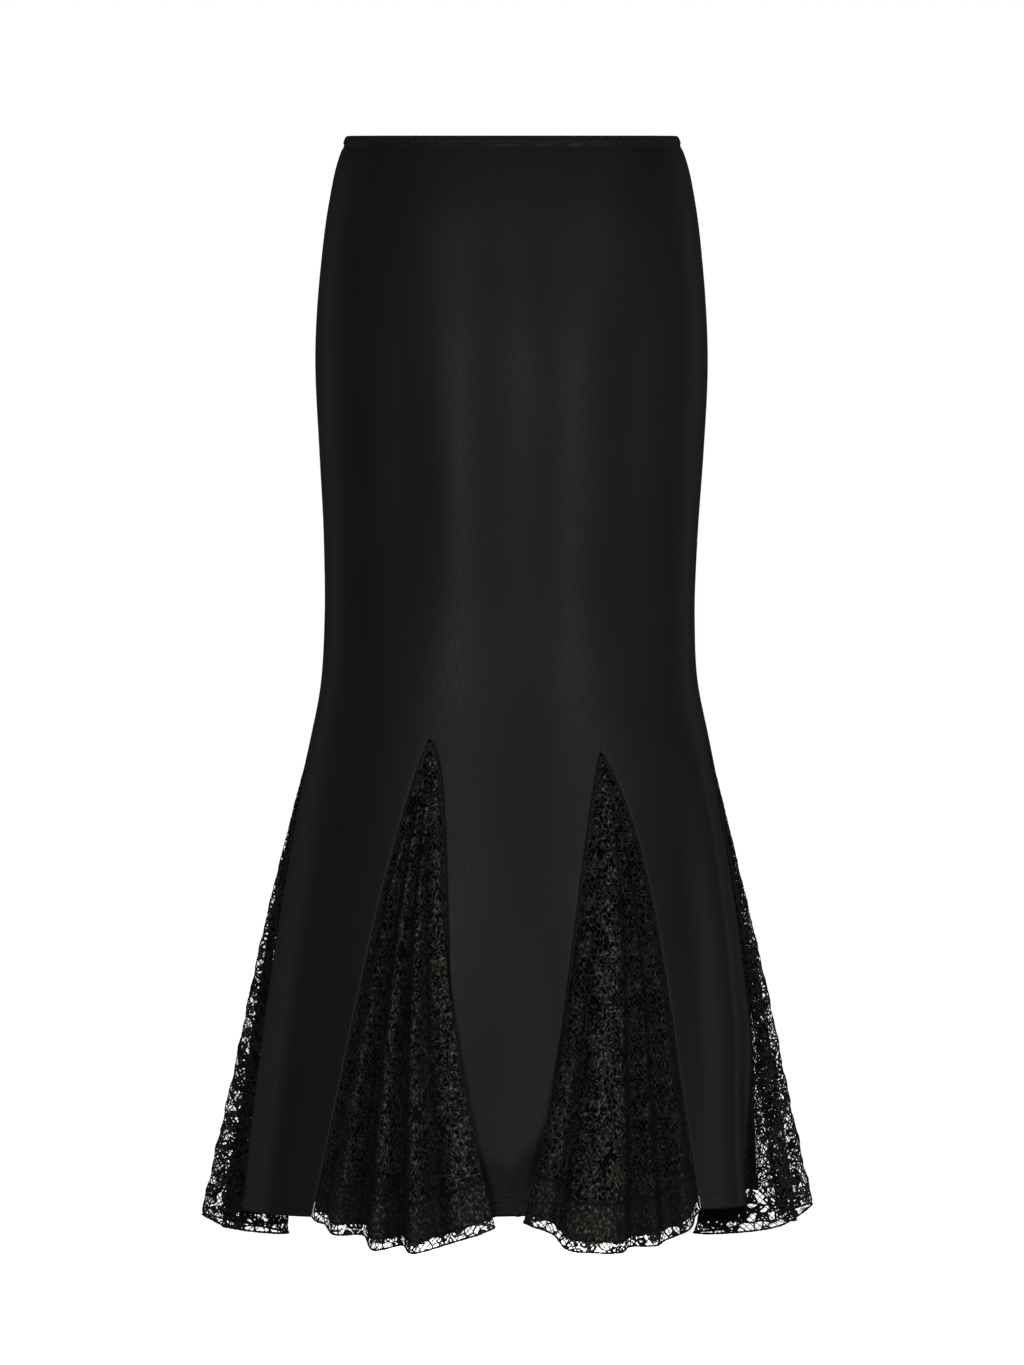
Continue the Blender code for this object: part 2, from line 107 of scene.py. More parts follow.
def through_rows(knots, values, where):
    """A smooth curve through table rows: a straight line between two rows, plus a
    bend that gives each row the slope between its neighbours."""
    knots = np.asarray(knots, float)
    values = np.asarray(values, float)
    slopes = np.gradient(values, knots)
    row = np.clip(np.searchsorted(knots, where) - 1, 0, len(knots) - 2)
    step = knots[row + 1] - knots[row]
    s = (where - knots[row]) / step
    rise = values[row + 1] - values[row]
    bend = slopes[row] * step * (1 - s) - slopes[row + 1] * step * s - rise * (1 - 2 * s)
    return values[row] + rise * s + s * (1 - s) * bend


def section_value(column, drop):
    """One column of the ring table at any drop."""
    drops = [section.drop for section in SECTIONS]
    return through_rows(drops, [getattr(section, column) for section in SECTIONS], drop)


def smoothstep(start, full, where):
    """0 before start, 1 after full, and an even S between them: 3 s squared less 2 s cubed."""
    s = np.clip((where - start) / (full - start), 0.0, 1.0)
    return s * s * (3 - 2 * s)


def bump(where, middle, width):
    """A rounded bump: 1 at its middle, falling as e to the minus distance squared."""
    return np.exp(-((where - middle) / width) ** 2)


def apart(angle, middle):
    """Degrees from a middle direction, the short way round."""
    return (np.degrees(angle) - middle + 180.0) % 360.0 - 180.0


def ring_size(drop, angle):
    """Half width of the ring, and its depth on the front or back side."""
    front = section_value("front_depth", drop)
    back = section_value("back_depth", drop)
    return section_value("half_width", drop), np.where(np.cos(angle) > 0, front, back)


def fold_height(drop, angle):
    """Sum of the folds: each grows down its length and is a rounded bump across it."""
    total = np.zeros(np.broadcast(drop, angle).shape)
    for fold in FOLDS:
        grown = smoothstep(fold.top, fold.full, drop)
        if fold.gone < NEVER:
            grown = grown * (1 - smoothstep(fold.full, fold.gone, drop))
        share = np.clip((drop - fold.top) / (SATIN_LENGTH - fold.top), 0.0, 1.0)
        middle = fold.top_angle + (fold.hem_angle - fold.top_angle) * share
        total = total + fold.height * grown * bump(apart(angle, middle), 0.0, fold.width)
    return total


def body_point(drop, angle, out=0.0):
    """A point of the body surface. The ring is two half ellipses, half width times
    the sine across and depth times the cosine forward, and the folds and the extra
    height move it along the ring's normal. The front of the waist edge dips."""
    drop, angle = np.broadcast_arrays(drop, angle)
    half, depth = ring_size(drop, angle)
    sine, cosine = np.sin(angle), np.cos(angle)
    normal = np.stack([sine / half, -cosine / depth])
    normal = normal / np.hypot(normal[0], normal[1])
    away = fold_height(drop, angle) + out
    forward = (cosine + np.hypot(cosine, SIDE_ROUND)) / 2
    dip = FRONT_DIP * forward * (1 - smoothstep(0.0, DIP_DEPTH, drop))
    x = section_value("sway", drop) + half * sine + normal[0] * away
    y = -depth * cosine + normal[1] * away
    return np.stack([x, y, -drop - dip], axis=-1)


def ring_radius(drop, angle):
    """Length of the ring that a radian spans."""
    half, depth = ring_size(drop, angle)
    return np.hypot(half * np.cos(angle), depth * np.sin(angle))


def satin_hem(angle):
    """Drop of the satin's hem: a sine lowers it a little on the left, and an even S of
    the cosine lowers it at the back."""
    fall = BACK_FALL * smoothstep(BACK_SIDE, 1.0, -np.cos(angle))
    return SATIN_LENGTH - HEM_TILT * np.sin(angle) + fall


print("hip width in mm:", round(2000 * float(section_value("half_width", 0.191)), 1))

# %% [markdown]
# ## Camera, light and floor
#
# A catalogue picture like this is taken from a few metres away, level with the
# middle of the skirt, so its edges are nearly parallel. A long lens at 4.5 m
# gives that. Two soft boxes in front, one on each side, light the ridges, and a
# weak one lights the right hip. One straight behind lights the back and no more.
# Two tall strips behind give the sides their thin bright edge, and the floor and
# the surroundings are a pale paper white.

# %% Camera
CAMERA_DISTANCE = 4.5
CAMERA_HEIGHT = -0.487
LENS = 133.35
camera_data = bpy.data.cameras.new("camera")
camera_data.lens = LENS
camera_data.sensor_width = 36.0
camera = bpy.data.objects.new("camera", camera_data)
camera.location = (0.0, -CAMERA_DISTANCE, CAMERA_HEIGHT)
camera.rotation_euler = (math.pi / 2, 0.0, 0.0)
bpy.context.collection.objects.link(camera)
bpy.context.scene.camera = camera
print("lens:", LENS, "mm at", CAMERA_DISTANCE, "m")

# %% One function adds a node, one turns a colour to linear


def linear(code):
    """A colour as sRGB hex turned to linear red, green, blue and a full alpha."""
    values = [int(code[k:k + 2], 16) / 255 for k in (1, 3, 5)]
    return tuple(v / 12.92 if v <= 0.04045 else ((v + 0.055) / 1.055) ** 2.4
                 for v in values) + (1.0,)


def set_inputs(tree, node, inputs):
    """Sets a node's sockets to values, or links them to other nodes' outputs."""
    for name, value in inputs.items():
        if isinstance(value, bpy.types.NodeSocket):
            tree.links.new(value, node.inputs[name])
        else:
            node.inputs[name].default_value = value


def add_node(tree, kind, inputs=None, **settings):
    """Adds a node. settings are its own options, and inputs go to its sockets."""
    node = tree.nodes.new(kind)
    for name, value in settings.items():
        setattr(node, name, value)
    set_inputs(tree, node, inputs or {})
    return node


def new_material(name):
    """A material, its node tree and its shader."""
    material = bpy.data.materials.new(name)
    material.use_nodes = True
    return material, material.node_tree, material.node_tree.nodes["Principled BSDF"]


# %% Studio light
SURROUND_LIGHT = 0.05


def soft_box(name, place, aim, wide, tall, power, colour="#FFFFFF"):
    """An area lamp at a place, turned to face its aim."""
    data = bpy.data.lights.new(name, "AREA")
    data.shape = "RECTANGLE"
    data.size = wide
    data.size_y = tall
    data.energy = power
    data.color = linear(colour)[:3]
    lamp = bpy.data.objects.new(name, data)
    lamp.location = place
    direction = np.array(aim, float) - np.array(place, float)
    flat_length = math.hypot(direction[0], direction[1])
    tilt = math.atan2(flat_length, -direction[2])
    lamp.rotation_euler = (tilt, 0.0, math.atan2(-direction[0], direction[1]))
    lamp.visible_camera = False
    bpy.context.collection.objects.link(lamp)


soft_box("key_left", (-1.33, -4.09, -0.20), (0.0, 0.0, -0.5), 0.9, 0.9, 76.0, "#FFF9F1")
soft_box("key_right", (1.95, -3.83, -0.20), (0.0, 0.0, -0.5), 0.9, 0.9, 70.0, "#FFF9F1")
soft_box("side_right", (3.60, -1.70, -0.10), (0.0, 0.0, -0.7), 0.6, 1.6, 9.0, "#FFFFFF")
soft_box("behind", (0.0, 4.2, -0.20), (0.0, 0.0, -0.5), 1.2, 1.2, 90.0, "#FFF9F1")
soft_box("strip_left", (-2.6, 1.2, -0.3), (0.0, 0.0, -0.4), 0.5, 2.4, 5.0)
soft_box("strip_right", (2.6, 1.2, -0.3), (0.0, 0.0, -0.4), 0.5, 2.4, 5.0)
soft_box("top", (0.0, -0.6, 2.6), (0.0, 0.0, -0.5), 2.0, 2.0, 12.0)
world = bpy.data.worlds.new("studio")
bpy.context.scene.world = world
world.use_nodes = True
tree = world.node_tree
tree.nodes.clear()
seen = add_node(tree, "ShaderNodeBackground", {"Color": linear("#FFFFFF"), "Strength": 1.0})
light = add_node(tree, "ShaderNodeBackground",
    {"Color": linear("#FFFDFA"), "Strength": SURROUND_LIGHT})
path = add_node(tree, "ShaderNodeLightPath")
both = add_node(tree, "ShaderNodeMixShader", {
    0: path.outputs["Is Camera Ray"], 1: light.outputs[0], 2: seen.outputs[0]})
add_node(tree, "ShaderNodeOutputWorld", {"Surface": both.outputs[0]})
bpy.context.scene.view_settings.view_transform = "Standard"

# %% Floor
FLOOR_DROP = 1.45
FLOOR_SIZE = 60.0
floor_mesh = bpy.data.meshes.new("floor")
edge = FLOOR_SIZE / 2
floor_mesh.from_pydata(
    [(-edge, -edge, -FLOOR_DROP), (edge, -edge, -FLOOR_DROP), (edge, edge, -FLOOR_DROP),
     (-edge, edge, -FLOOR_DROP)], [], [(0, 1, 2, 3)])
floor = bpy.data.objects.new("floor", floor_mesh)
bpy.context.collection.objects.link(floor)
paper, tree, shader = new_material("matt_studio_paper")
set_inputs(tree, shader, {
    "Base Color": linear("#F4F4F2"), "Roughness": 0.9,
    "Emission Color": linear("#FFFFFF"), "Emission Strength": 1.0})
floor_mesh.materials.append(paper)
floor.visible_diffuse = False
floor.visible_glossy = False
print("floor at", -FLOOR_DROP, "m")

# %% [markdown]
# ## Satin
#
# Polyester satin has long smooth floats of filament yarn, so it is dark where it
# turns away and has a broad soft sheen where it faces the light. A picture of
# satin could be wrapped round the skirt. Here thin stretched noise stands for
# the floats and bends the light a little, along the cloth's own UV map.

# %% Black satin
FLOAT_WIDTH = 0.0011
FLOAT_LENGTH = 0.016


def cloth_coordinates(tree, wide, tall):
    """The cloth's UV map, in metres, stretched so that one pattern repeat is wide by tall."""
    place = add_node(tree, "ShaderNodeUVMap", uv_map="cloth")
    return add_node(tree, "ShaderNodeMapping", {
        "Vector": place.outputs["UV"], "Scale": (1 / wide, 1 / tall, 1.0)}).outputs[0]


def satin_material(name, colour, mottle_and_highlight_colour, roughness):
    """Woven polyester satin. The floats are 0.1 mm wide on the real cloth and are drawn
    1.1 mm wide so that they show; they give the sheen its fine vertical grain."""
    material, tree, shader = new_material(name)
    floats = add_node(tree, "ShaderNodeTexNoise", {
        "Vector": cloth_coordinates(tree, FLOAT_WIDTH, FLOAT_LENGTH), "Scale": 1.0, "Detail": 4.0})
    weft = add_node(tree, "ShaderNodeTexNoise", {
        "Vector": cloth_coordinates(tree, 0.010, 0.0009), "Scale": 1.0, "Detail": 2.0})
    cloud = add_node(tree, "ShaderNodeTexNoise", {
        "Vector": cloth_coordinates(tree, 0.07, 0.11), "Scale": 1.0, "Detail": 3.0})
    # Painted highlight: an attribute lightens the cloth along its pressed edges and folds. It is
    # added to the cloud noise's random mottle, and both mix the colour to the lighter one.
    painted_edge_highlight = add_node(tree, "ShaderNodeAttribute", attribute_name="painted_edge_highlight")
    shade = add_node(tree, "ShaderNodeMapRange", {
        "Value": cloud.outputs["Fac"], "From Min": 0.3, "From Max": 0.7, "To Min": 0.0,
            "To Max": 0.5})
    worn = add_node(tree, "ShaderNodeMath", {0: shade.outputs[0], 1: painted_edge_highlight.outputs["Fac"]},
                    operation="ADD", use_clamp=True)
    colours = add_node(tree, "ShaderNodeMix", {
        0: worn.outputs[0], 6: linear(colour), 7: linear(mottle_and_highlight_colour)}, data_type="RGBA")
    # Painted shade: below the V of the front's middle tongue the colour is mixed to near black,
    # where the godets' flutes shade it.
    bend = add_node(tree, "ShaderNodeAttribute", attribute_name="painted_shade")
    tone = add_node(tree, "ShaderNodeMix", {
        0: bend.outputs["Fac"], 6: colours.outputs[2], 7: linear("#060504")}, data_type="RGBA")
    grain = add_node(tree, "ShaderNodeMath", {0: weft.outputs["Fac"], 1: 0.35},
        operation="MULTIPLY")
    weave = add_node(tree, "ShaderNodeMath", {0: floats.outputs["Fac"], 1: grain.outputs[0]},
        operation="ADD")
    rough = add_node(tree, "ShaderNodeMapRange", {
        "Value": floats.outputs["Fac"], "From Min": 0.25, "From Max": 0.75,
        "To Min": roughness - 0.05, "To Max": roughness + 0.06})
    relief = add_node(tree, "ShaderNodeBump", {
        "Height": weave.outputs[0], "Strength": 0.20, "Distance": 0.00010})
    set_inputs(tree, shader, {
        "Base Color": tone.outputs[2], "Roughness": rough.outputs[0], "Normal": relief.outputs[0],
        "IOR": 1.5, "Specular IOR Level": 0.085,
        "Sheen Weight": 0.03, "Sheen Roughness": 0.45, "Sheen Tint": linear("#C9C0B6")})
    return material


satin = satin_material("black_polyester_satin", "#171615", "#1C1B19", 0.46)
casing_satin = satin_material("black_satin_over_elastic", "#181716", "#1D1C1A", 0.50)
print("materials:", satin.name, casing_satin.name)

# %% [markdown]
# ## Meshes from whole arrays
#
# A grid of points and the numbers of its corners are enough for a mesh. bmesh
# could add them one by one. foreach_set puts whole arrays in and is much faster,
# and each corner gets its place on the flat cloth as a UV in metres.

# %% Mesh helpers


def make_piece(name, points, polygons, material, cloth=None, values=None):
    """An object from points, a list of corner tables (one for each number of
    corners), the cloth's UV at each point, and named values at each point."""
    corners = np.concatenate([table.ravel() for table in polygons]).astype(np.int32)
    sizes = np.concatenate([np.full(len(table), table.shape[1]) for table in polygons])
    mesh = bpy.data.meshes.new(name)
    mesh.vertices.add(len(points))
    mesh.vertices.foreach_set("co", points.astype(np.float32).ravel())
    mesh.loops.add(len(corners))
    mesh.loops.foreach_set("vertex_index", corners)
    mesh.polygons.add(len(sizes))
    mesh.polygons.foreach_set("loop_start", (np.cumsum(sizes) - sizes).astype(np.int32))
    mesh.update(calc_edges=True)
    mesh.validate()
    if cloth is not None:
        layer = mesh.uv_layers.new(name="cloth")
        layer.data.foreach_set("uv", cloth[corners].astype(np.float32).ravel())
    for label, numbers in (values or {}).items():
        attribute = mesh.attributes.new(label, "FLOAT", "POINT")
        attribute.data.foreach_set("value", numbers.astype(np.float32))
    mesh.materials.append(material)
    mesh.shade_smooth()
    piece = bpy.data.objects.new(name, mesh)
    bpy.context.collection.objects.link(piece)
    print(name, "points:", len(points), "faces:", len(sizes))
    return piece


def grid_quads(numbers):
    """The quads of a grid of point numbers: down, right, up and back."""
    return np.stack([numbers[:-1, :-1], numbers[1:, :-1], numbers[1:, 1:], numbers[:-1, 1:]],
                    axis=-1).reshape(-1, 4)


# %% [markdown]
# ## Godets and their seams
#
# A slash opens from its tip to the hem, and the godet fills it. The real seam is
# sewn from the hem to a sharp point. It could be cut out of a finished mesh, but
# then its edge would be as ragged as the grid. Here both cloths read one formula
# for the seam, so their edges run beside each other all the way.

# %% Godet tables
Godet = namedtuple("Godet", (
    "name tip_drop tip_angle near far near_ease far_ease near_point far_point flutes"))
Flute = namedtuple("Flute", "along out drop start")
SEAM_STRIP = 0.020
FLUTE_GROWTH = 1.15


def flute_table(last_drop, rows):
    """The flutes between the flat strips that are sewn to the satin on both sides."""
    first = Flute(0.0, 0.0, 0.0, 0.0), Flute(SEAM_STRIP, 0.0, 0.001, 0.0)
    last = Flute(1.0 - SEAM_STRIP, 0.0, last_drop, 0.0), Flute(1.0, 0.0, 0.0, 0.0)
    return first + tuple(Flute(*row) for row in rows) + last


LEFT_FRONT_FLUTES = flute_table(0.002, (
    (0.036, 0.0042, 0.002, 0.05), (-0.046, 0.0078, 0.003, 0.05), (-0.170, 0.0118, 0.004, 0.05),
    (-0.245, 0.0175, 0.005, 0.05), (-0.165, 0.0240, 0.010, 0.05), (-0.035, 0.0185, 0.016, 0.05),
    (0.085, 0.0050, 0.022, 0.10), (0.215, 0.0215, 0.026, 0.00), (0.345, -0.0040, 0.022, 0.00),
    (0.460, 0.0200, 0.024, 0.00), (0.630, -0.0090, 0.014, 0.00), (0.760, 0.0140, 0.012, 0.00),
    (0.890, 0.0010, 0.005, 0.05),
))
RIGHT_FRONT_FLUTES = flute_table(0.002, (
    (0.038, 0.0042, 0.002, 0.05), (-0.024, 0.0068, 0.003, 0.05), (-0.085, 0.0108, 0.004, 0.05),
    (-0.040, 0.0165, 0.007, 0.05), (0.035, 0.0170, 0.011, 0.05), (0.088, 0.0090, 0.016, 0.05),
    (0.130, 0.0210, 0.025, 0.05), (0.270, 0.0320, 0.028, 0.00), (0.420, 0.0240, 0.029, 0.00),
    (0.520, 0.0020, 0.027, 0.00), (0.630, 0.0150, 0.026, 0.00), (0.730, -0.0010, 0.024, 0.00),
    (0.860, 0.0150, 0.013, 0.00), (0.940, 0.0040, 0.004, 0.05),
))
LEFT_SIDE_FLUTES = flute_table(0.002, (
    (0.110, -0.0050, 0.008, 0.05), (0.260, -0.0550, 0.024, 0.38), (0.400, 0.0000, 0.019, 0.05),
    (0.520, 0.0250, 0.010, 0.00), (0.660, -0.0140, 0.022, 0.05), (0.820, 0.0150, 0.022, 0.00),
    (0.920, 0.0010, 0.008, 0.05),
))
RIGHT_SIDE_FLUTES = flute_table(0.002, (
    (0.080, -0.0060, 0.012, 0.05), (0.170, -0.0750, 0.032, 0.50), (0.290, -0.0040, 0.022, 0.10),
    (0.450, 0.0190, 0.006, 0.00), (0.620, -0.0120, 0.020, 0.05), (0.800, 0.0150, 0.024, 0.00),
    (0.920, 0.0010, 0.008, 0.05),
))
BACK_FLUTES = flute_table(0.001, (
    (0.060, 0.0180, 0.001, 0.05), (0.200, 0.0200, 0.002, 0.00), (0.310, -0.0090, 0.003, 0.00),
    (0.470, 0.0240, 0.003, 0.00), (0.600, -0.0110, 0.003, 0.00), (0.740, 0.0220, 0.002, 0.00),
    (0.860, 0.0020, 0.002, 0.00), (0.940, 0.0110, 0.001, 0.05),
))
GODETS = (
    Godet("godet_front_left", 0.535, -23.5, -11.1, -43.7, 0.44, 0.60, 0.02, 0.08,
        LEFT_FRONT_FLUTES),
    Godet("godet_front_right", 0.547, 26.3, 5.5, 41.2, 0.68, 0.22, 0.10, 0.13, RIGHT_FRONT_FLUTES),
    Godet("godet_side_left", 0.527, LEFT_SEAM, -71.0, -111.0, 1.50, 0.80, 0.02, 0.02,
        LEFT_SIDE_FLUTES),
    Godet("godet_side_right", 0.527, RIGHT_SEAM, 64.0, 117.0, 1.10, 0.80, 0.02, 0.02,
        RIGHT_SIDE_FLUTES),
    Godet("godet_back", 0.540, 182.0, 172.0, 192.5, 0.60, 0.55, 0.04, 0.04, BACK_FLUTES),
)
print("godets:", len(GODETS))

# %% Seam and satin edge


def seam(godet, far_side, share):
    """Drop and angle of a seam. The drop runs evenly to the hem. The angle opens as the
    share of the seam's length to the power of its ease, but straight over its point."""
    hem_angle, ease, point = godet.near, godet.near_ease, godet.near_point
    if far_side:
        hem_angle, ease, point = godet.far, godet.far_ease, godet.far_point
    opened = share ** ease * (1 - np.exp(-share / point)) ** max(1 - ease, 0.0)
    drop = godet.tip_drop + share * (satin_hem(math.radians(hem_angle)) - godet.tip_drop)
    return drop, np.radians(godet.tip_angle + (hem_angle - godet.tip_angle) * opened)


def tongue_edge(godet, side, share):
    """Drop and angle of a satin tongue's edge, half a seam gap from the godet's seam."""
    far_side = (godet.far > godet.near) == (side > 0)
    drop, angle = seam(godet, far_side, share)
    return drop, angle + side * SEAM_GAP / 2 / ring_radius(drop, angle)


def unwrapped(angle, first):
    """The same direction, counted on from the first angle."""
    return np.where(angle < first - math.pi / 2, angle + math.tau, angle)


print("left front seam ends at", [round(float(v), 3) for v in seam(GODETS[0], False, 1.0)])

# %% [markdown]
# ## Satin panels
#
# The front is one panel with two slashes and the back is one panel with one, so
# three tongues hang below the knee in front and two behind. Cloth could be
# simulated to fold by itself, but the folds of this skirt are known from its
# picture, so they are listed. The sewn details are soft troughs and ridges
# a fraction of a millimetre high: the pull below the elastic, the turned hem with
# its stitch line, and the pressed edges beside the lace.

# %% Sewn relief of the satin
Pucker = namedtuple("Pucker", "angle width reach depth")
PUCKERS = [Pucker(*row) for row in (
    (-2.1, 1.5, 0.034, -0.0022), (10.7, 1.3, 0.020, -0.0013), (21.7, 1.6, 0.026, -0.0014),
    (-38.0, 4.0, 0.026, -0.0012), (-52.0, 5.0, 0.032, -0.0014), (-66.0, 3.0, 0.024, -0.0010),
    (48.0, 3.5, 0.022, -0.0010), (58.0, 5.0, 0.034, -0.0015), (-14.0, 2.5, 0.016, 0.0007),
    (33.0, 2.4, 0.015, -0.0007), (97.0, 4.0, 0.028, -0.0012), (116.0, 2.6, 0.020, -0.0011),
    (131.0, 3.4, 0.030, -0.0014), (152.0, 2.2, 0.024, -0.0012), (171.0, 2.0, 0.034, -0.0018),
    (-173.0, 2.8, 0.022, -0.0010), (-158.0, 2.0, 0.030, -0.0014), (-137.0, 3.6, 0.024, -0.0012),
    (-118.0, 3.0, 0.032, -0.0014), (-99.0, 4.2, 0.022, -0.0010),
)]
HEM_DEPTH = 0.014
BEND_DEPTH = 0.0030
SATIN_SHELL = 0.0011
MEAN_RADIUS = 0.175
Wave = namedtuple("Wave", "across down turn height")
WAVES = (
    Wave(11.0, 1.2, 0.3, 0.00009),
    Wave(7.5, 3.1, 2.6, 0.00020),
    Wave(5.0, -4.2, 5.5, 0.00026),
)


def below_bend(drop, angle):
    """Metres below the V where the front's middle tongue turns in, between the godets."""
    around = apart(angle, 0.0)
    line = 0.903 - np.where(around > 0, 0.0050, 0.0022) * np.abs(around)
    return np.where(np.abs(around) < 12.0, drop - line, -1.0)


def satin_relief(drop, angle, edge, above_hem):
    """Height of the sewn details over the body surface: puckers that fade below the
    casing, a groove under it, sine waves for the slack of the cloth, rolled edges and
    the turned hem."""
    below = drop - BAND_HEIGHT
    total = -0.0009 * bump(below, 0.0030, 0.0022)
    for pucker in PUCKERS:
        fade = (1 - smoothstep(0.0, pucker.reach, below)) * smoothstep(-0.001, 0.004, below)
        total = total + pucker.depth * fade * bump(apart(angle, pucker.angle), 0.0, pucker.width)
    fade = np.exp(-np.maximum(below, 0) / 0.010)
    total = total + 0.00022 * np.sin(71 * angle + 2 * np.sin(9 * angle)) * fade
    for wave in WAVES:
        phase = math.tau * (wave.across * MEAN_RADIUS * angle + wave.down * drop) + wave.turn
        total = total + wave.height * np.sin(phase)
    total = total - 0.00015 * bump(edge, 0.0, 0.0014)
    total = total - BEND_DEPTH * smoothstep(0.0, 0.040, below_bend(drop, angle))
    turned = 1 - smoothstep(HEM_DEPTH - 0.001, HEM_DEPTH + 0.001, above_hem)
    return total + 0.00035 * turned - 0.00045 * bump(above_hem, HEM_DEPTH, 0.0011)


print("puckers:", len(PUCKERS))

# %% Build the two panels
EVEN_SHARE = 0.40
SATIN_COLUMN = 0.0047


def spread(count):
    """Places from 0 to 1, closer at both ends: an even row mixed with half a cosine wave."""
    even = np.linspace(0.0, 1.0, count + 1)
    return EVEN_SHARE * even + (1 - EVEN_SHARE) * (1 - np.cos(np.pi * even)) / 2


TUCKED = 0.0022
BODY_DROPS = np.concatenate([np.linspace(0.0, 0.085, 22), np.linspace(0.085, 1.0, 62)[1:]])
TONGUE_SHARES = np.concatenate([np.linspace(0.0, 0.94, 50)[1:], np.linspace(0.94, 1.0, 15)[1:]])


def satin_panel(name, edges):
    """A panel between two side godets. Above the slashes, drop and angle run evenly
    between the four edges; each tongue runs evenly between its own two seams."""
    start = math.radians(edges[0].tip_angle)
    tip_drops = [godet.tip_drop for godet in edges]
    tip_angles = [float(unwrapped(math.radians(godet.tip_angle), start)) for godet in edges]
    ends = list(tip_angles)
    ends[0] = float(unwrapped(tongue_edge(edges[0], 1, 0.0)[1], start))
    ends[-1] = float(unwrapped(tongue_edge(edges[-1], -1, 0.0)[1], start))
    counts = [int(round((b - a) * MEAN_RADIUS / SATIN_COLUMN))
              for a, b in zip(ends[:-1], ends[1:])]
    angles, tips = [np.array([ends[0]])], [np.array([tip_drops[0]])]
    for k, count in enumerate(counts):
        part = spread(count)[1:]
        angles.append(ends[k] + (ends[k + 1] - ends[k]) * part)
        tips.append(tip_drops[k] + (tip_drops[k + 1] - tip_drops[k]) * part)
    angles, tips = np.concatenate(angles), np.concatenate(tips)
    top = BAND_HEIGHT - TUCKED
    drop = top + (tips - top) * BODY_DROPS[:, None]
    angle = np.broadcast_to(angles, drop.shape)
    radius = ring_radius(drop, angle)
    edge = np.minimum(angle - ends[0], ends[-1] - angle) * radius
    for tip_drop, tip_angle in zip(tip_drops[1:-1], tip_angles[1:-1]):
        edge = np.minimum(edge, np.hypot((angle - tip_angle) * radius, drop - tip_drop))
    parts = [(drop, angle, edge, np.full(drop.shape, 1.0))]
    numbers = np.arange(drop.size).reshape(drop.shape)
    quads = [grid_quads(numbers)]
    first, total = 0, drop.size
    for k, count in enumerate(counts):
        near_drop, near = tongue_edge(edges[k], 1, TONGUE_SHARES[:, None])
        far_drop, far = tongue_edge(edges[k + 1], -1, TONGUE_SHARES[:, None])
        near, far = unwrapped(near, start), unwrapped(far, start)
        part = spread(count)
        tongue_drop = near_drop + (far_drop - near_drop) * part
        tongue_angle = near + (far - near) * part
        radius = ring_radius(tongue_drop, tongue_angle)
        tongue_side = np.minimum(tongue_angle - near, far - tongue_angle) * radius
        above = satin_hem(tongue_angle) - tongue_drop
        parts.append((tongue_drop, tongue_angle, tongue_side, above))
        own = total + np.arange(tongue_drop.size).reshape(tongue_drop.shape)
        quads.append(grid_quads(np.vstack([numbers[-1, first:first + count + 1], own])))
        first += count
        total += tongue_drop.size
    drop, angle, edge, above = [
        np.concatenate([part[k].ravel() for part in parts]) for k in range(4)]
    points = body_point(drop, angle, satin_relief(drop, angle, edge, above))
    middle = (ends[0] + ends[-1]) / 2
    cloth = np.column_stack([(angle - middle) * MEAN_RADIUS, -drop])
    # Painted highlight along the edges beside the lace and along the turned hem.
    painted_edge_highlight = 0.1 * bump(edge, 0.003, 0.003) + 0.3 * bump(above, 0.0, 0.004)
    # Painted shade below the V of the front's middle tongue, between the godets.
    painted_shade = 0.95 * smoothstep(-0.004, 0.012, below_bend(drop, angle))
    panel = make_piece(name, points, [np.concatenate(quads)], satin, cloth,
                       {"painted_edge_highlight": painted_edge_highlight, "painted_shade": painted_shade})
    shell = panel.modifiers.new("Cloth", "SOLIDIFY")
    shell.thickness = SATIN_SHELL
    shell.offset = 0.0
    return panel


front_left, front_right, side_left, side_right, back = GODETS
FRONT_EDGES = (side_left, front_left, front_right, side_right)
BACK_EDGES = (side_right, back, side_left)
satin_front = satin_panel("satin_front", FRONT_EDGES)
satin_back = satin_panel("satin_back", BACK_EDGES)

# %% [markdown]
# ## Waist casing
#
# The top edge is a strip of satin turned over a thin elastic. The panels' edge
# could be bevelled instead, but a real casing is a strip of its own. So it is a
# rounded hook-shaped profile carried round the waist, open below where it is sewn
# to the panels, with the small ripples that elastic gives.

# %% Casing strip
CASING_HALF_WALL = 0.0016
CASING_POINTS = 460


def casing_surface(turn, angle):
    """A rounded profile: out is half the wall times a flattened cosine of turn, drop is
    half the height less a flattened sine, and ripples swell it as the angle goes round."""
    ripple = 0.5 * np.sin(96 * angle + 1.3 * np.sin(7 * angle))
    ripple = ripple + 0.5 * np.sin(157 * angle + 2.0 * np.sin(5 * angle))
    swell = 1 + 0.10 * ripple
    flat_cosine = np.sign(np.cos(turn)) * np.abs(np.cos(turn)) ** 0.6
    flat_sine = np.sign(np.sin(turn)) * np.abs(np.sin(turn)) ** 0.7
    out = CASING_HALF_WALL * flat_cosine * swell
    drop = BAND_HEIGHT / 2 * (1 - flat_sine) + 0.00008 * ripple
    return body_point(drop, angle, out)


turns = np.radians(np.linspace(-78.0, 258.0, 19))[:, None]
rounds = np.linspace(0.0, math.tau, CASING_POINTS, endpoint=False)[None, :]
casing_points = casing_surface(turns, rounds)
numbers = np.arange(casing_points[..., 0].size).reshape(casing_points.shape[:2])
numbers = np.concatenate([numbers, numbers[:, :1]], axis=1)
casing_cloth = np.stack(np.broadcast_arrays(rounds * 0.12, turns * 0.004), axis=-1)
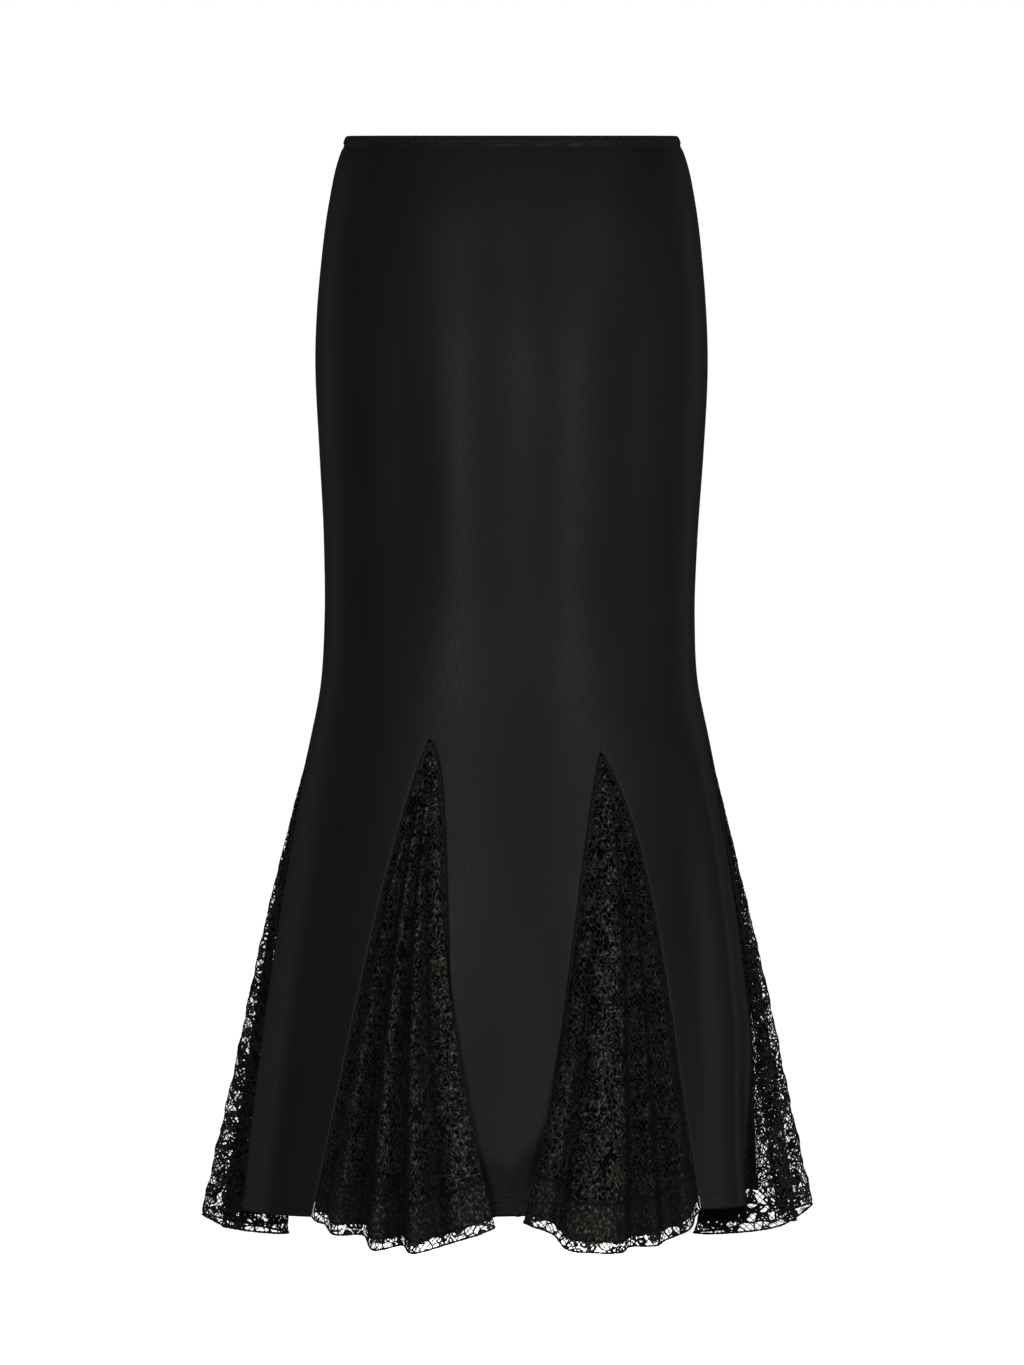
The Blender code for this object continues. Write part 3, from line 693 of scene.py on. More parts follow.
# Painted highlight: the casing is painted lighter along the top of its fold.
casing = make_piece("waist_casing", casing_points.reshape(-1, 3), [grid_quads(numbers)[:, ::-1]],
                    casing_satin, casing_cloth.reshape(-1, 2),
                    {"painted_edge_highlight": np.broadcast_to(0.5 * bump(turns, math.pi / 2, 0.8),
                        (19, CASING_POINTS)).ravel()})

# %% [markdown]
# ## Stitches
#
# One row of small stitches holds the casing and one holds each turned hem. They
# could be drawn in the material, but thread stands up and catches light. Each is
# a short spindle of a few dozen faces, laid along the row.

# %% Stitch rows
STITCH_LENGTH = 0.0027
STITCH_PITCH = 0.0034
THREAD_RADIUS = 0.00026


def yarn_material(name, dark, light, rough, specular=0.2, fuzz_scale=1400.0, fuzz_relief=0.5):
    """Spun or knitted yarn. Its fibres show as a fine noise of tone and relief."""
    material, tree, shader = new_material(name)
    place = add_node(tree, "ShaderNodeTexCoord")
    fuzz = add_node(tree, "ShaderNodeTexNoise", {
        "Vector": place.outputs["Object"], "Scale": fuzz_scale, "Detail": 2.0})
    shade = add_node(tree, "ShaderNodeMix", {
        0: fuzz.outputs["Fac"], 6: linear(dark), 7: linear(light)}, data_type="RGBA")
    relief = add_node(tree, "ShaderNodeBump", {
        "Height": fuzz.outputs["Fac"], "Strength": fuzz_relief, "Distance": 0.0002})
    set_inputs(tree, shader, {
        "Base Color": shade.outputs[2], "Normal": relief.outputs[0], "Roughness": rough,
        "Specular IOR Level": specular})
    return material


def unit(vectors):
    """Vectors of length 1."""
    return vectors / np.maximum(np.linalg.norm(vectors, axis=-1, keepdims=True), 1e-12)


def stitch_row(name, points, outward, material):
    """Spindles along a path: each is a ring profile that swells as the root of 1 less
    its place squared, and it lies between two places one stitch length apart."""
    reach = np.concatenate([[0.0], np.cumsum(np.linalg.norm(np.diff(points, axis=0), axis=1))])
    starts = np.arange(0.001, reach[-1] - STITCH_LENGTH, STITCH_PITCH)
    begin = np.column_stack([np.interp(starts, reach, points[:, k]) for k in range(3)])
    end = np.column_stack([np.interp(starts + STITCH_LENGTH, reach,
        points[:, k]) for k in range(3)])
    normal = unit(np.column_stack([np.interp(starts, reach, outward[:, k]) for k in range(3)]))
    side = unit(np.cross(end - begin, normal))
    place = np.linspace(-1.0, 1.0, 5)[None, :, None, None]
    turn = (np.arange(6) * math.tau / 6)[None, None, :, None]
    middle, along = (begin + end) / 2, (end - begin) / 2
    swell = THREAD_RADIUS * np.sqrt(np.maximum(1.02 - place ** 2, 0.02))
    rings = (middle[:, None, None] + along[:, None, None] * place
             + swell * (np.cos(turn) * normal[:, None, None] + np.sin(turn) * side[:, None, None]))
    count = len(starts)
    numbers = np.arange(count * 30).reshape(count, 5, 6)
    looped = np.concatenate([numbers, numbers[:, :, :1]], axis=2)
    quads = np.stack([looped[:, :-1, :-1], looped[:, 1:, :-1], looped[:, 1:, 1:],
        looped[:, :-1, 1:]], axis=-1)
    caps = np.concatenate([numbers[:, 0, :], numbers[:, -1, ::-1]])
    return make_piece(name, rings.reshape(-1, 3), [quads.reshape(-1, 4)[:, ::-1], caps[:, ::-1]],
        material)


# The thread is a little lighter and glossier than the satin round it.
thread = yarn_material("black_spun_polyester_thread", "#141312", "#2B2927", 0.55, 0.5, 2600.0, 0.0)


def satin_path(drop, angle, edge, above_hem):
    """Points on the satin's outer face and the direction out of it."""
    height = satin_relief(drop, angle, edge, above_hem) + SATIN_SHELL / 2
    points = body_point(drop, angle, height)
    return points, unit(body_point(drop, angle, height + 0.001) - points)


waist_angles = np.linspace(0.0, math.tau, 900)
waist_stitches = stitch_row("waist_stitches", *satin_path(
    np.full(900, BAND_HEIGHT + 0.0034), waist_angles, np.full(900, 1.0), np.full(900, 1.0)),
        thread)
hem_stitches = []
for label, edges in (("front", FRONT_EDGES), ("back", BACK_EDGES)):
    start = math.radians(edges[0].tip_angle)
    for k in range(len(edges) - 1):
        near = unwrapped(tongue_edge(edges[k], 1, 0.965)[1], start)
        far = unwrapped(tongue_edge(edges[k + 1], -1, 0.965)[1], start)
        angle = np.linspace(float(near) + 0.006, float(far) - 0.006, 300)
        row = satin_path(satin_hem(angle) - HEM_DEPTH, angle, np.full(300, 1.0),
            np.full(300, HEM_DEPTH))
        hem_stitches.append(stitch_row(f"hem_stitches_{label}_{k + 1}", *row, thread))

# %% [markdown]
# ## Lace
#
# The lace is a fine net with flowers and leaves worked on it, each outlined by a
# thicker cord. A flat drawing of it is worked out first, as a height over the
# flat cloth that is above zero where there is cloth and below zero in each
# window. The sheet is then cut along the zero line, so the windows are real
# holes with smooth rims, and the net in them is made of real strands. A
# see-through material on a whole sheet would be lighter, but its windows would
# have no rims, and light would pass them in one flat plane.

# %% Black floral lace
THREAD_SPACING = 0.0009


def lace_material():
    """Knitted floral lace of nylon net and viscose cord. Threads are 0.2 mm on the real
    cloth and are drawn 0.9 mm apart so that they show as a fine broken grain."""
    material, tree, shader = new_material("black_corded_lace")
    cord = add_node(tree, "ShaderNodeAttribute", attribute_name="cord")
    threads = add_node(tree, "ShaderNodeTexVoronoi", {
        "Vector": cloth_coordinates(tree, THREAD_SPACING * 1.4, THREAD_SPACING * 2.2),
            "Scale": 1.0},
        feature="DISTANCE_TO_EDGE")
    grain = add_node(tree, "ShaderNodeTexNoise", {
        "Vector": cloth_coordinates(tree, 0.0016, 0.0016), "Scale": 1.0, "Detail": 3.0})
    cloud = add_node(tree, "ShaderNodeTexNoise", {
        "Vector": cloth_coordinates(tree, 0.03, 0.03), "Scale": 1.0, "Detail": 2.0})
    thread_line = add_node(tree, "ShaderNodeMapRange", {
        "Value": threads.outputs["Distance"], "From Min": 0.0, "From Max": 0.25, "To Min": 1.0,
            "To Max": 0.0})
    height = add_node(tree, "ShaderNodeMath", {0: thread_line.outputs[0], 1: grain.outputs["Fac"]},
        operation="ADD")
    # Painted glints: speckles of this noise, times the cord attribute, mix the lace to light grey
    # and make it less rough.
    loops = add_node(tree, "ShaderNodeTexNoise", {
        "Vector": cloth_coordinates(tree, 0.0024, 0.0034), "Scale": 1.0, "Detail": 2.0})
    painted_glint_speckle = add_node(tree, "ShaderNodeMapRange", {
        "Value": loops.outputs["Fac"], "From Min": 0.50, "From Max": 0.68, "To Min": 0.10,
            "To Max": 1.0})
    painted_cord_glint = add_node(tree, "ShaderNodeMath", {0: cord.outputs["Fac"], 1: painted_glint_speckle.outputs[0]},
                          operation="MULTIPLY", use_clamp=True)
    base = add_node(tree, "ShaderNodeMix", {
        0: cloud.outputs["Fac"], 6: linear("#030303"), 7: linear("#070807")}, data_type="RGBA")
    colours = add_node(tree, "ShaderNodeMix", {
        0: painted_cord_glint.outputs[0], 6: base.outputs[2], 7: linear("#555653")}, data_type="RGBA")
    rough = add_node(tree, "ShaderNodeMapRange", {
        "Value": painted_cord_glint.outputs[0], "From Min": 0.0, "From Max": 0.9, "To Min": 0.78,
            "To Max": 0.32})
    relief = add_node(tree, "ShaderNodeBump", {
        "Height": height.outputs[0], "Strength": 0.5, "Distance": 0.00020})
    set_inputs(tree, shader, {
        "Base Color": colours.outputs[2], "Roughness": rough.outputs[0],
        "Normal": relief.outputs[0], "Specular IOR Level": 0.12,
        "Sheen Weight": 0.01, "Sheen Roughness": 0.5})
    return material


lace = lace_material()
net_yarn = yarn_material("black_nylon_net", "#080808", "#121212", 0.6)
hem_yarn = yarn_material("black_overlock_yarn", "#060606", "#101010", 0.65)
print("materials:", lace.name, net_yarn.name, hem_yarn.name)

# %% The godet surface


def hem_width(godet):
    """Length of the body surface between a godet's two seams at the hem."""
    (near_drop, near), (far_drop, far) = seam(godet, False, 1.0), seam(godet, True, 1.0)
    along = np.linspace(0.0, 1.0, 40)
    points = body_point(near_drop + (far_drop - near_drop) * along, near + (far - near) * along)
    return float(np.linalg.norm(np.diff(points, axis=0), axis=1).sum())


def flute_values(godet, flat):
    """The four columns of the flute table at a place across the cloth from 0 to 1."""
    table = np.array(godet.flutes)
    reach = np.hypot(*np.diff(table[:, :2] * (hem_width(godet), 1.0), axis=0).T)
    cloth = np.concatenate([[0.0], np.cumsum(reach)])
    place = np.interp(flat, (0.0, SEAM_STRIP, 1 - SEAM_STRIP, 1.0),
        (0.0, cloth[1], cloth[-2], cloth[-1]))
    return [through_rows(cloth, table[:, c], place) for c in range(4)]


# Four slow waves of slack in the lace: turns across and down, start and height.
CRUMPLES = (
    (23, 9, 0.0, 0.0008), (41, -13, 2.0, 0.0007), (8, 62, 0.0, 0.0008), (19, -151, 1.0, 0.0005))


def godet_point(godet, flat, share):
    """A point of a godet: flat is the place across the cloth from 0 to 1, share the place
    from tip to hem. The table bends the cloth along and out, and it grows to the hem."""
    along, out, drop, start = flute_values(godet, flat)
    grown = np.clip((share - start) / (1 - start), 0.0, 1.0) ** FLUTE_GROWTH
    turned = math.copysign(1.0, godet.far - godet.near)
    near_drop, near = seam(godet, False, share)
    far_drop, far = seam(godet, True, share)
    near = near + turned * SEAM_GAP / 2 / ring_radius(near_drop, near)
    far = far - turned * SEAM_GAP / 2 / ring_radius(far_drop, far)
    drops = near_drop + (far_drop - near_drop) * flat + drop * share
    inner = np.sin(np.pi * np.clip(flat, 0.0, 1.0)) * share
    crumple = inner * sum(height * np.sin(across * flat + down * share + turn)
                          for across, down, turn, height in CRUMPLES)
    angle = near + (far - near) * (flat + (along - flat) * grown)
    return body_point(drops, angle, out * grown + crumple)


def flat_plan(godet):
    """The fan as it is cut: the length from tip to hem at each place across, and its angle."""
    flat = np.linspace(0.0, 1.0, 240)
    share = np.linspace(0.0, 1.0, 80)
    points = godet_point(godet, flat[None, :], share[:, None])
    lengths = np.linalg.norm(np.diff(points, axis=0), axis=2).sum(axis=0)
    width = float(np.linalg.norm(np.diff(points[-1], axis=0), axis=1).sum())
    return flat, lengths, width / float(lengths.mean())


for godet in GODETS:
    _, lengths, fan = flat_plan(godet)
    print(godet.name, "length mm", round(1000 * lengths.mean()), "hem mm",
        round(1000 * fan * lengths.mean()))

# %% Lace drawing: a web of cord
TABLE_SIDE = 67


def nearest_seeds(x, y, wide, tall, table, reach):
    """Offsets to the nearest seed of a scattered lattice, its random numbers, and the
    distance to the line half way to the next seed."""
    column, row = np.floor(x / wide), np.floor(y / tall)
    steps = [(c, r) for c in range(-reach, reach + 1) for r in range(-reach, reach + 1)]

    def seed(c, r):
        i, j = (column + c).astype(int) % TABLE_SIDE, (row + r).astype(int) % TABLE_SIDE
        shift = 0.5 * ((row + r) % 2)
        at_x = (column + c + 0.5 + shift + table[i, j, 0]) * wide
        at_y = (row + r + 0.5 + table[i, j, 1]) * tall
        return at_x, at_y, table[i, j, 2:]

    best = np.full(x.shape, np.inf)
    near_x, near_y = np.zeros(x.shape), np.zeros(x.shape)
    extra = np.zeros(x.shape + (table.shape[2] - 2,))
    for c, r in steps:
        at_x, at_y, numbers = seed(c, r)
        far = (x - at_x) ** 2 + (y - at_y) ** 2
        closer = far < best
        best = np.where(closer, far, best)
        near_x, near_y = np.where(closer, at_x, near_x), np.where(closer, at_y, near_y)
        extra = np.where(closer[..., None], numbers, extra)
    border = np.full(x.shape, np.inf)
    for c, r in steps:
        at_x, at_y, _ = seed(c, r)
        gap_x, gap_y = at_x - near_x, at_y - near_y
        gap = np.hypot(gap_x, gap_y)
        to_line = ((at_x + near_x) / 2 - x) * gap_x + ((at_y + near_y) / 2 - y) * gap_y
        border = np.minimum(border, np.where(gap > 1e-6, to_line / np.maximum(gap, 1e-6), np.inf))
    return x - near_x, y - near_y, extra, border


def scatter(seed_number, spread_x, spread_y):
    """Random seed offsets and three random numbers for each cell of a repeating table."""
    numbers = np.random.default_rng(seed_number)
    table = numbers.uniform(0.0, 1.0, (TABLE_SIDE, TABLE_SIDE, 5))
    table[..., 0] = (table[..., 0] - 0.5) * spread_x
    table[..., 1] = (table[..., 1] - 0.5) * spread_y
    return table


WEB_CELLS = scatter(5, 0.66, 0.66)
HOLE_CELLS = scatter(9, 0.5, 0.5)
NET_CELLS = scatter(10, 0.5, 0.5)
HEM_CELLS = scatter(6, 0.55, 0.4)
FLOWER_CELLS = scatter(7, 0.34, 0.34)
SPRAY_CELLS = scatter(8, 0.34, 0.34)

# %% Lace drawing: flowers and leaves
# All sizes in the drawing are in millimetres on the flat cloth.
MM = 0.001
FLOWER_SMALL, FLOWER_RANGE = 8.5, 4.0
Leaf = namedtuple("Leaf", "along side turn long wide")
LEAVES = (
    Leaf(-10.0, -3.0, -46.0, 4.8, 2.0),
    Leaf(-5.0, 3.4, 44.0, 5.2, 2.2),
    Leaf(0.5, -3.6, -42.0, 5.4, 2.3),
    Leaf(6.0, 3.4, 40.0, 5.0, 2.1),
    Leaf(12.5, 0.0, 0.0, 5.4, 2.2),
)


def flower(dx, dy, numbers):
    """Distance in mm inside a flower of five to seven petals: the rim is a circle pulled
    in between petals by the cosine of half the petal count times the angle."""
    size = FLOWER_SMALL + FLOWER_RANGE * numbers[..., 0]
    petals = 5 + np.floor(2.99 * numbers[..., 1])
    radius = np.hypot(dx, dy)
    turn = np.arctan2(dy, dx) + math.tau * numbers[..., 2]
    wave = np.cos(petals / 2 * turn)
    rim = size * (0.68 + 0.32 * np.abs(wave)) - radius
    between = radius * np.abs(np.arcsin(np.clip(wave, -1, 1))) * 2 / petals
    slit = np.where((radius > 0.34 * size) & (radius < 0.78 * size), between - 0.75, 9.0)
    own = (turn + math.pi / petals) % (math.tau / petals) - math.pi / petals
    axial, lateral = radius * np.cos(own), radius * np.sin(own)
    eye = np.hypot((axial - 0.62 * size) / 1.7, lateral) - 0.95
    heart = np.where(np.abs(wave) > 0.45, np.abs(radius - 0.24 * size) - 0.75, 9.0)
    return np.minimum(np.minimum(rim, slit), np.minimum(eye, heart))


def leaf_spray(dx, dy, numbers):
    """Distance in mm inside a spray: a curved stem with leaves, each an ellipse with a
    slit for its vein."""
    turn = math.tau * numbers[..., 0]
    along = dx * np.cos(turn) + dy * np.sin(turn)
    side = -dx * np.sin(turn) + dy * np.cos(turn) - 0.012 * along ** 2
    total = np.where(np.abs(along) < 16.0, 0.75 - np.abs(side), -9.0)
    for leaf in LEAVES:
        tilt = math.radians(leaf.turn)
        u = (along - leaf.along) * math.cos(tilt) + (side - leaf.side) * math.sin(tilt)
        v = -(along - leaf.along) * math.sin(tilt) + (side - leaf.side) * math.cos(tilt)
        inside = (1 - np.hypot(u / leaf.long, v / leaf.wide)) * leaf.wide
        vein = np.maximum(np.abs(v) - 0.62, np.abs(u) - 0.55 * leaf.long)
        total = np.maximum(total, np.minimum(inside, vein))
    return total


def lace_height(x, y, above_hem, from_seam, flat, style):
    """Height of the drawing in mm, above zero where there is cloth. x and y are metres on
    the flat cloth; above_hem and from_seam are metres from the cut edges, and flat is the
    place across. The web is half a cord's width less the distance to the nearest line of
    the scattered cells."""
    x, y, hem, side = x / MM, y / MM, above_hem / MM, from_seam / MM
    bent_x = x + 1.4 * np.sin(y / 5.1 + 1.0) + 0.8 * np.sin(y / 2.4 + x / 3.7)
    bent_y = y + 1.6 * np.sin(x / 4.7) + 0.8 * np.sin(x / 2.7 - y / 4.1)
    _, _, numbers, border = nearest_seeds(bent_x, bent_y, 4.4 * style.cell, 6.2 * style.cell,
        WEB_CELLS, 2)
    cord = style.cord + (style.far_cord - style.cord) * smoothstep(0.45, 0.60, flat)
    web = cord + 0.28 * numbers[..., 1] - border
    _, _, ground, outline = nearest_seeds(bent_x, bent_y, 9.5, 13.0, NET_CELLS, 1)
    web = np.where((ground[..., 0] < style.grounds) & (outline > 0.7), -0.6, web)
    _, _, _, hole = nearest_seeds(bent_x, bent_y, 2.7, 3.0, HOLE_CELLS, 1)
    web = np.maximum(web, np.where(numbers[..., 0] < style.packed, 0.72 - hole, -9.0))
    _, _, _, post = nearest_seeds(bent_x, bent_y * 0.8, 8.0, 7.0, HEM_CELLS, 1)
    line = 7.5 + 1.8 * np.sin(x / 7.7) + 1.0 * np.sin(x / 3.1 + 1.0)
    web = np.where(hem > line, web, 0.62 - post)
    web = np.maximum(web, 0.62 - np.abs(hem - line))
    dx, dy, numbers, _ = nearest_seeds(x, y, 37.0, 34.0, FLOWER_CELLS, 1)
    bloom = flower(dx, dy, numbers)
    rim = np.hypot(dx, dy) - (FLOWER_SMALL + FLOWER_RANGE * numbers[..., 0])
    web = np.where(rim < 0.0, -9.0, np.maximum(web, 0.6 - np.abs(rim)))
    dx, dy, numbers, _ = nearest_seeds(x + 18.0, y + 16.0, 37.0, 34.0, SPRAY_CELLS, 1)
    drawing = np.maximum(np.maximum(web, bloom), leaf_spray(dx, dy, numbers))
    band = smoothstep(8.0, 11.0, hem) * (1 - smoothstep(38.0, 46.0, hem))
    open_part = (flat > style.open_from) & (flat < style.open_to)
    drawing = drawing + np.where(open_part, 0.0, style.fill) * band
    above_band = smoothstep(9.0, 13.0, hem)
    below_reach = 1 - smoothstep(style.reach - 20.0, style.reach + 20.0, hem)
    near_part = 1 - smoothstep(style.closed - 0.06, style.closed + 0.06, flat)
    near_part = near_part * below_reach * above_band
    far_part = smoothstep(style.far_closed - 0.05, style.far_closed + 0.05, flat)
    drawing = drawing + CLOSED_FILL * (near_part + far_part)
    return np.maximum(drawing, 2.4 - side)


# cell is the size of the web's cells, against the front's. cord is half a cord's width
# in mm in the half that is seen from the front, and far_cord in the half behind it.
# grounds is the share of the large cells that hold only net, and packed the share of
# the small ones that are worked nearly closed. fill is how far the cloth grows into its
# windows in the hem band, in mm, but not between the places open_from and open_to
# across the godet. The lace is worked closed from the near seam to the place closed, up
# to reach mm above the hem, and from the place far_closed to the far seam.
CLOSED_FILL = 2.4
Style = namedtuple("Style", (
    "cell cord far_cord grounds packed fill open_from open_to closed reach far_closed"))
LEFT_LACE = Style(1.0, 0.50, 0.50, 0.12, 0.22, 4.0, 0.02, 0.17, -1.0, 0.0, 2.0)
RIGHT_LACE = Style(1.0, 0.50, 0.50, 0.12, 0.22, 4.0, 0.0, 0.0, -1.0, 0.0, 2.0)
LEFT_SIDE_LACE = Style(1.6, 1.20, 0.30, 0.38, 0.22, 0.0, 0.0, 0.0, 0.15, 400.0, 0.86)
RIGHT_SIDE_LACE = Style(1.5, 0.88, 0.56, 0.22, 0.12, 0.0, 0.0, 0.0, 0.40, 110.0, 2.0)
BACK_LACE = Style(1.0, 0.55, 0.55, 0.10, 0.22, 0.0, 0.0, 0.0, -1.0, 0.0, 2.0)
print("leaves in a spray:", len(LEAVES))

# %% Cutting a sheet along the zero line of its drawing
# The corners of a cell are numbered down, right and up from the top left, 0 to 3.
# 4 to 7 are the cuts on its left, lower, right and upper side.
CELL_PARTS = {
    1: ((0, 4, 7),), 2: ((1, 5, 4),), 3: ((0, 1, 5, 7),), 4: ((2, 6, 5),),
        5: ((0, 4, 7), (2, 6, 5)),
    6: ((1, 2, 6, 4),), 7: ((0, 1, 2, 6, 7),), 8: ((3, 7, 6),), 9: ((0, 4, 6, 3),),
    10: ((1, 5, 4), (3, 7, 6)), 11: ((0, 1, 5, 6, 3),), 12: ((2, 3, 7, 5),),
        13: ((0, 4, 5, 2, 3),),
    14: ((1, 2, 3, 7, 4),), 15: ((0, 1, 2, 3),),
}
NEAREST_CUT = 0.10


def cut_sheet(x, y, height):
    """Points, heights and polygons of the part of a grid where the height is above zero.
    A cut lies between two corners where the height, taken as even between them, is zero."""
    rows, columns = height.shape
    inside = height > 0
    corner = np.arange(rows * columns).reshape(rows, columns)
    grid = np.stack([x, y, height], axis=-1)

    def cuts(first, last):
        share = first[..., 2] / np.where(first[..., 2] == last[..., 2], 1.0,
            first[..., 2] - last[..., 2])
        share = np.clip(share, NEAREST_CUT, 1 - NEAREST_CUT)[..., None]
        made = first + (last - first) * share
        made[..., 2] = 0.0
        return made

    across = cuts(grid[:, :-1], grid[:, 1:])
    down = cuts(grid[:-1], grid[1:])
    points = np.concatenate([grid.reshape(-1, 3), across.reshape(-1, 3), down.reshape(-1, 3)])
    across_number = corner.size + np.arange(across[..., 0].size).reshape(across.shape[:2])
    down_number = corner.size + across_number.size + np.arange(down[...,
        0].size).reshape(down.shape[:2])
    local = np.stack([corner[:-1, :-1], corner[1:, :-1], corner[1:, 1:], corner[:-1, 1:],
                      down_number[:, :-1], across_number[1:], down_number[:, 1:],
                          across_number[:-1]], axis=-1)
    case = (inside[:-1, :-1] * 1 + inside[1:, :-1] * 2 + inside[1:, 1:] * 4 + inside[:-1, 1:] * 8)
    found = {3: [], 4: [], 5: []}
    for code, parts in CELL_PARTS.items():
        cells = local[case == code]
        for part in parts:
            found[len(part)].append(cells[:, part])
    polygons = [np.concatenate(tables) for tables in found.values()]
    used, numbers = np.unique(np.concatenate([table.ravel() for table in polygons]),
        return_inverse=True)
    ends = np.cumsum([table.size for table in polygons])
    split = np.split(numbers, ends[:-1])
    polygons = [part.reshape(-1, table.shape[1]) for part, table in zip(split, polygons)]
    return points[used], polygons


print("cell cases:", len(CELL_PARTS))

# %% Lace sheets, nets and rolled hems
LACE_GRID = 0.00097
TIP_GAP = 0.004
CORD_HEIGHT = 0.00028
NET_WIDE, NET_TALL = 0.0021, 0.0028
NET_RADII = (0.00044, 0.00030)
HEM_ROLL = 0.0009


class Fan:
    """A godet laid flat: the tip is at zero, y runs down to the hem and x across."""

    def __init__(self, godet, style, order):
        self.godet = godet
        self.style = style
        self.flat, self.lengths, self.angle = flat_plan(godet)
        self.shift = 0.37 * order
        self.turned = math.copysign(1.0, godet.far - godet.near)
        self.widest = float(self.lengths.max())

    def place(self, x, y):
        """flat and share of a point on the flat cloth, from its angle and distance to the tip."""
        flat = np.arctan2(x, y) / self.angle + 0.5
        return flat, np.hypot(x, y) / np.interp(flat, self.flat, self.lengths)

    def height(self, x, y):
        """Height of the lace's drawing, and distance inside the cut edges, in mm."""
        radius, turn = np.hypot(x, y), np.arctan2(x, y)
        above_hem = np.interp(turn / self.angle + 0.5, self.flat, self.lengths) - radius
        half = self.angle / 2
        side = np.minimum(np.sin(half) * y - np.cos(half) * x, np.sin(half) * y + np.cos(half) * x)
        flat = turn / self.angle + 0.5
        drawn = lace_height(x + self.shift, y + self.shift, above_hem, side, flat, self.style)
        inside = np.minimum(np.minimum(above_hem, side), radius - TIP_GAP) / MM
        return np.minimum(drawn, inside), inside

    def point(self, x, y, out=0.0):
        """Points and normals of the worn surface at places on the flat cloth. The normal
        is the cross product of two short steps on the surface."""
        flat, share = self.place(x, y)
        flat, share = np.clip(flat, 0.0, 1.0), np.clip(share, 1e-4, 1.0)
        step = 0.0015
        left, right = np.clip(flat - step, 0, 1), np.clip(flat + step, 0, 1)
        upper, lower = np.clip(share - step, 1e-4, 1), np.clip(share + step, 1e-4, 1)
        across = godet_point(self.godet, right, share) - godet_point(self.godet, left, share)
        down = godet_point(self.godet, flat, lower) - godet_point(self.godet, flat, upper)
        normal = unit(np.cross(down, across)) * self.turned
        return godet_point(self.godet, flat, share) + normal * np.asarray(out)[..., None], normal


def lace_sheet(fan):
    """The embossed sheet: cord stands up beside each window, motifs lie a little lower.
    Painted highlight: the cord is painted lighter along the ridges of the folds."""
    half = fan.widest * math.sin(fan.angle / 2) + LACE_GRID
    x, y = np.meshgrid(np.arange(-half, half, LACE_GRID),
        np.arange(0.0, fan.widest + LACE_GRID, LACE_GRID))
    height, _ = fan.height(x, y)
    flat_points, polygons = cut_sheet(x, y, height)
    level = flat_points[:, 2]
    cord = bump(level, 0.40, 0.40) + 0.8 * bump(level, 4.20, 0.50)
    points, _ = fan.point(flat_points[:, 0], flat_points[:, 1], CORD_HEIGHT * cord)
    flat, _ = fan.place(flat_points[:, 0], flat_points[:, 1])
    out = flute_values(fan.godet, flat)[1]
    # Painted highlight: the cord's lightness grows on the outer ridges of the flutes.
    painted_ridge_glint = cord * (0.30 + 0.90 * smoothstep(0.25, 0.95, out / out.max()))
    corners = [flat_points[table] for table in polygons]
    fan.cloth = sum(float(np.abs((part[..., 0] * np.roll(part[..., 1], -1, axis=1)
                                  - part[..., 1] * np.roll(part[..., 0], -1, axis=1)
                                  ).sum(axis=1)).sum()) / 2
                    for part in corners)
    if fan.turned < 0:
        polygons = [table[:, ::-1] for table in polygons]
    name = fan.godet.name.replace("godet", "lace")
    return make_piece(name, points, polygons, lace, flat_points[:, :2], {"cord": painted_ridge_glint})


def lace_net(fan):
    """Diamond net in the windows: each strand is a three-sided prism between two knots."""
    columns = int(fan.widest * math.sin(fan.angle / 2) / NET_WIDE) + 2
    rows = int(fan.widest / NET_TALL) + 2
    column, row = np.meshgrid(np.arange(-columns, columns + 1), np.arange(rows))
    x, y = column * NET_WIDE, row * NET_TALL
    height, inside = fan.height(x, y)
    knots, normals = fan.point(x, y)
    knot = np.arange(x.size).reshape(x.shape)
    even = (column + row) % 2 == 0
    pairs = []
    begin = knot[:-1, 1:-1][even[:-1, 1:-1]]
    for step in (1, -1):
        pairs.append(np.column_stack([begin, begin + x.shape[1] + step]))
    pairs = np.concatenate(pairs)
    radii = np.repeat(NET_RADII, len(begin))
    height, inside = height.ravel(), inside.ravel()
    open_here = (np.minimum(height[pairs[:, 0]], height[pairs[:, 1]]) < 0.0)
    held = (np.minimum(inside[pairs[:, 0]], inside[pairs[:, 1]]) > 0.2)
    pairs, radii = pairs[open_here & held], radii[open_here & held]
    knots, normals = knots.reshape(-1, 3), normals.reshape(-1, 3)
    begin, end = knots[pairs[:, 0]], knots[pairs[:, 1]]
    normal = unit(normals[pairs[:, 0]] + normals[pairs[:, 1]])
    side = unit(np.cross(normal, end - begin))
    corners = np.stack([normal, -0.5 * normal + 0.87 * side, -0.5 * normal - 0.87 * side], axis=1)
    corners = corners * radii[:, None, None]
    points = np.stack([begin[:, None] + corners, end[:, None] + corners], axis=1).reshape(-1, 3)
    base = 6 * np.arange(len(pairs))[:, None]
    faces = np.array([(0, 3, 4, 1), (1, 4, 5, 2), (2, 5, 3, 0)])
    quads = (base[:, None] + faces[None]).reshape(-1, 4)
    return make_piece(fan.godet.name.replace("godet", "net"), points, [quads], net_yarn)


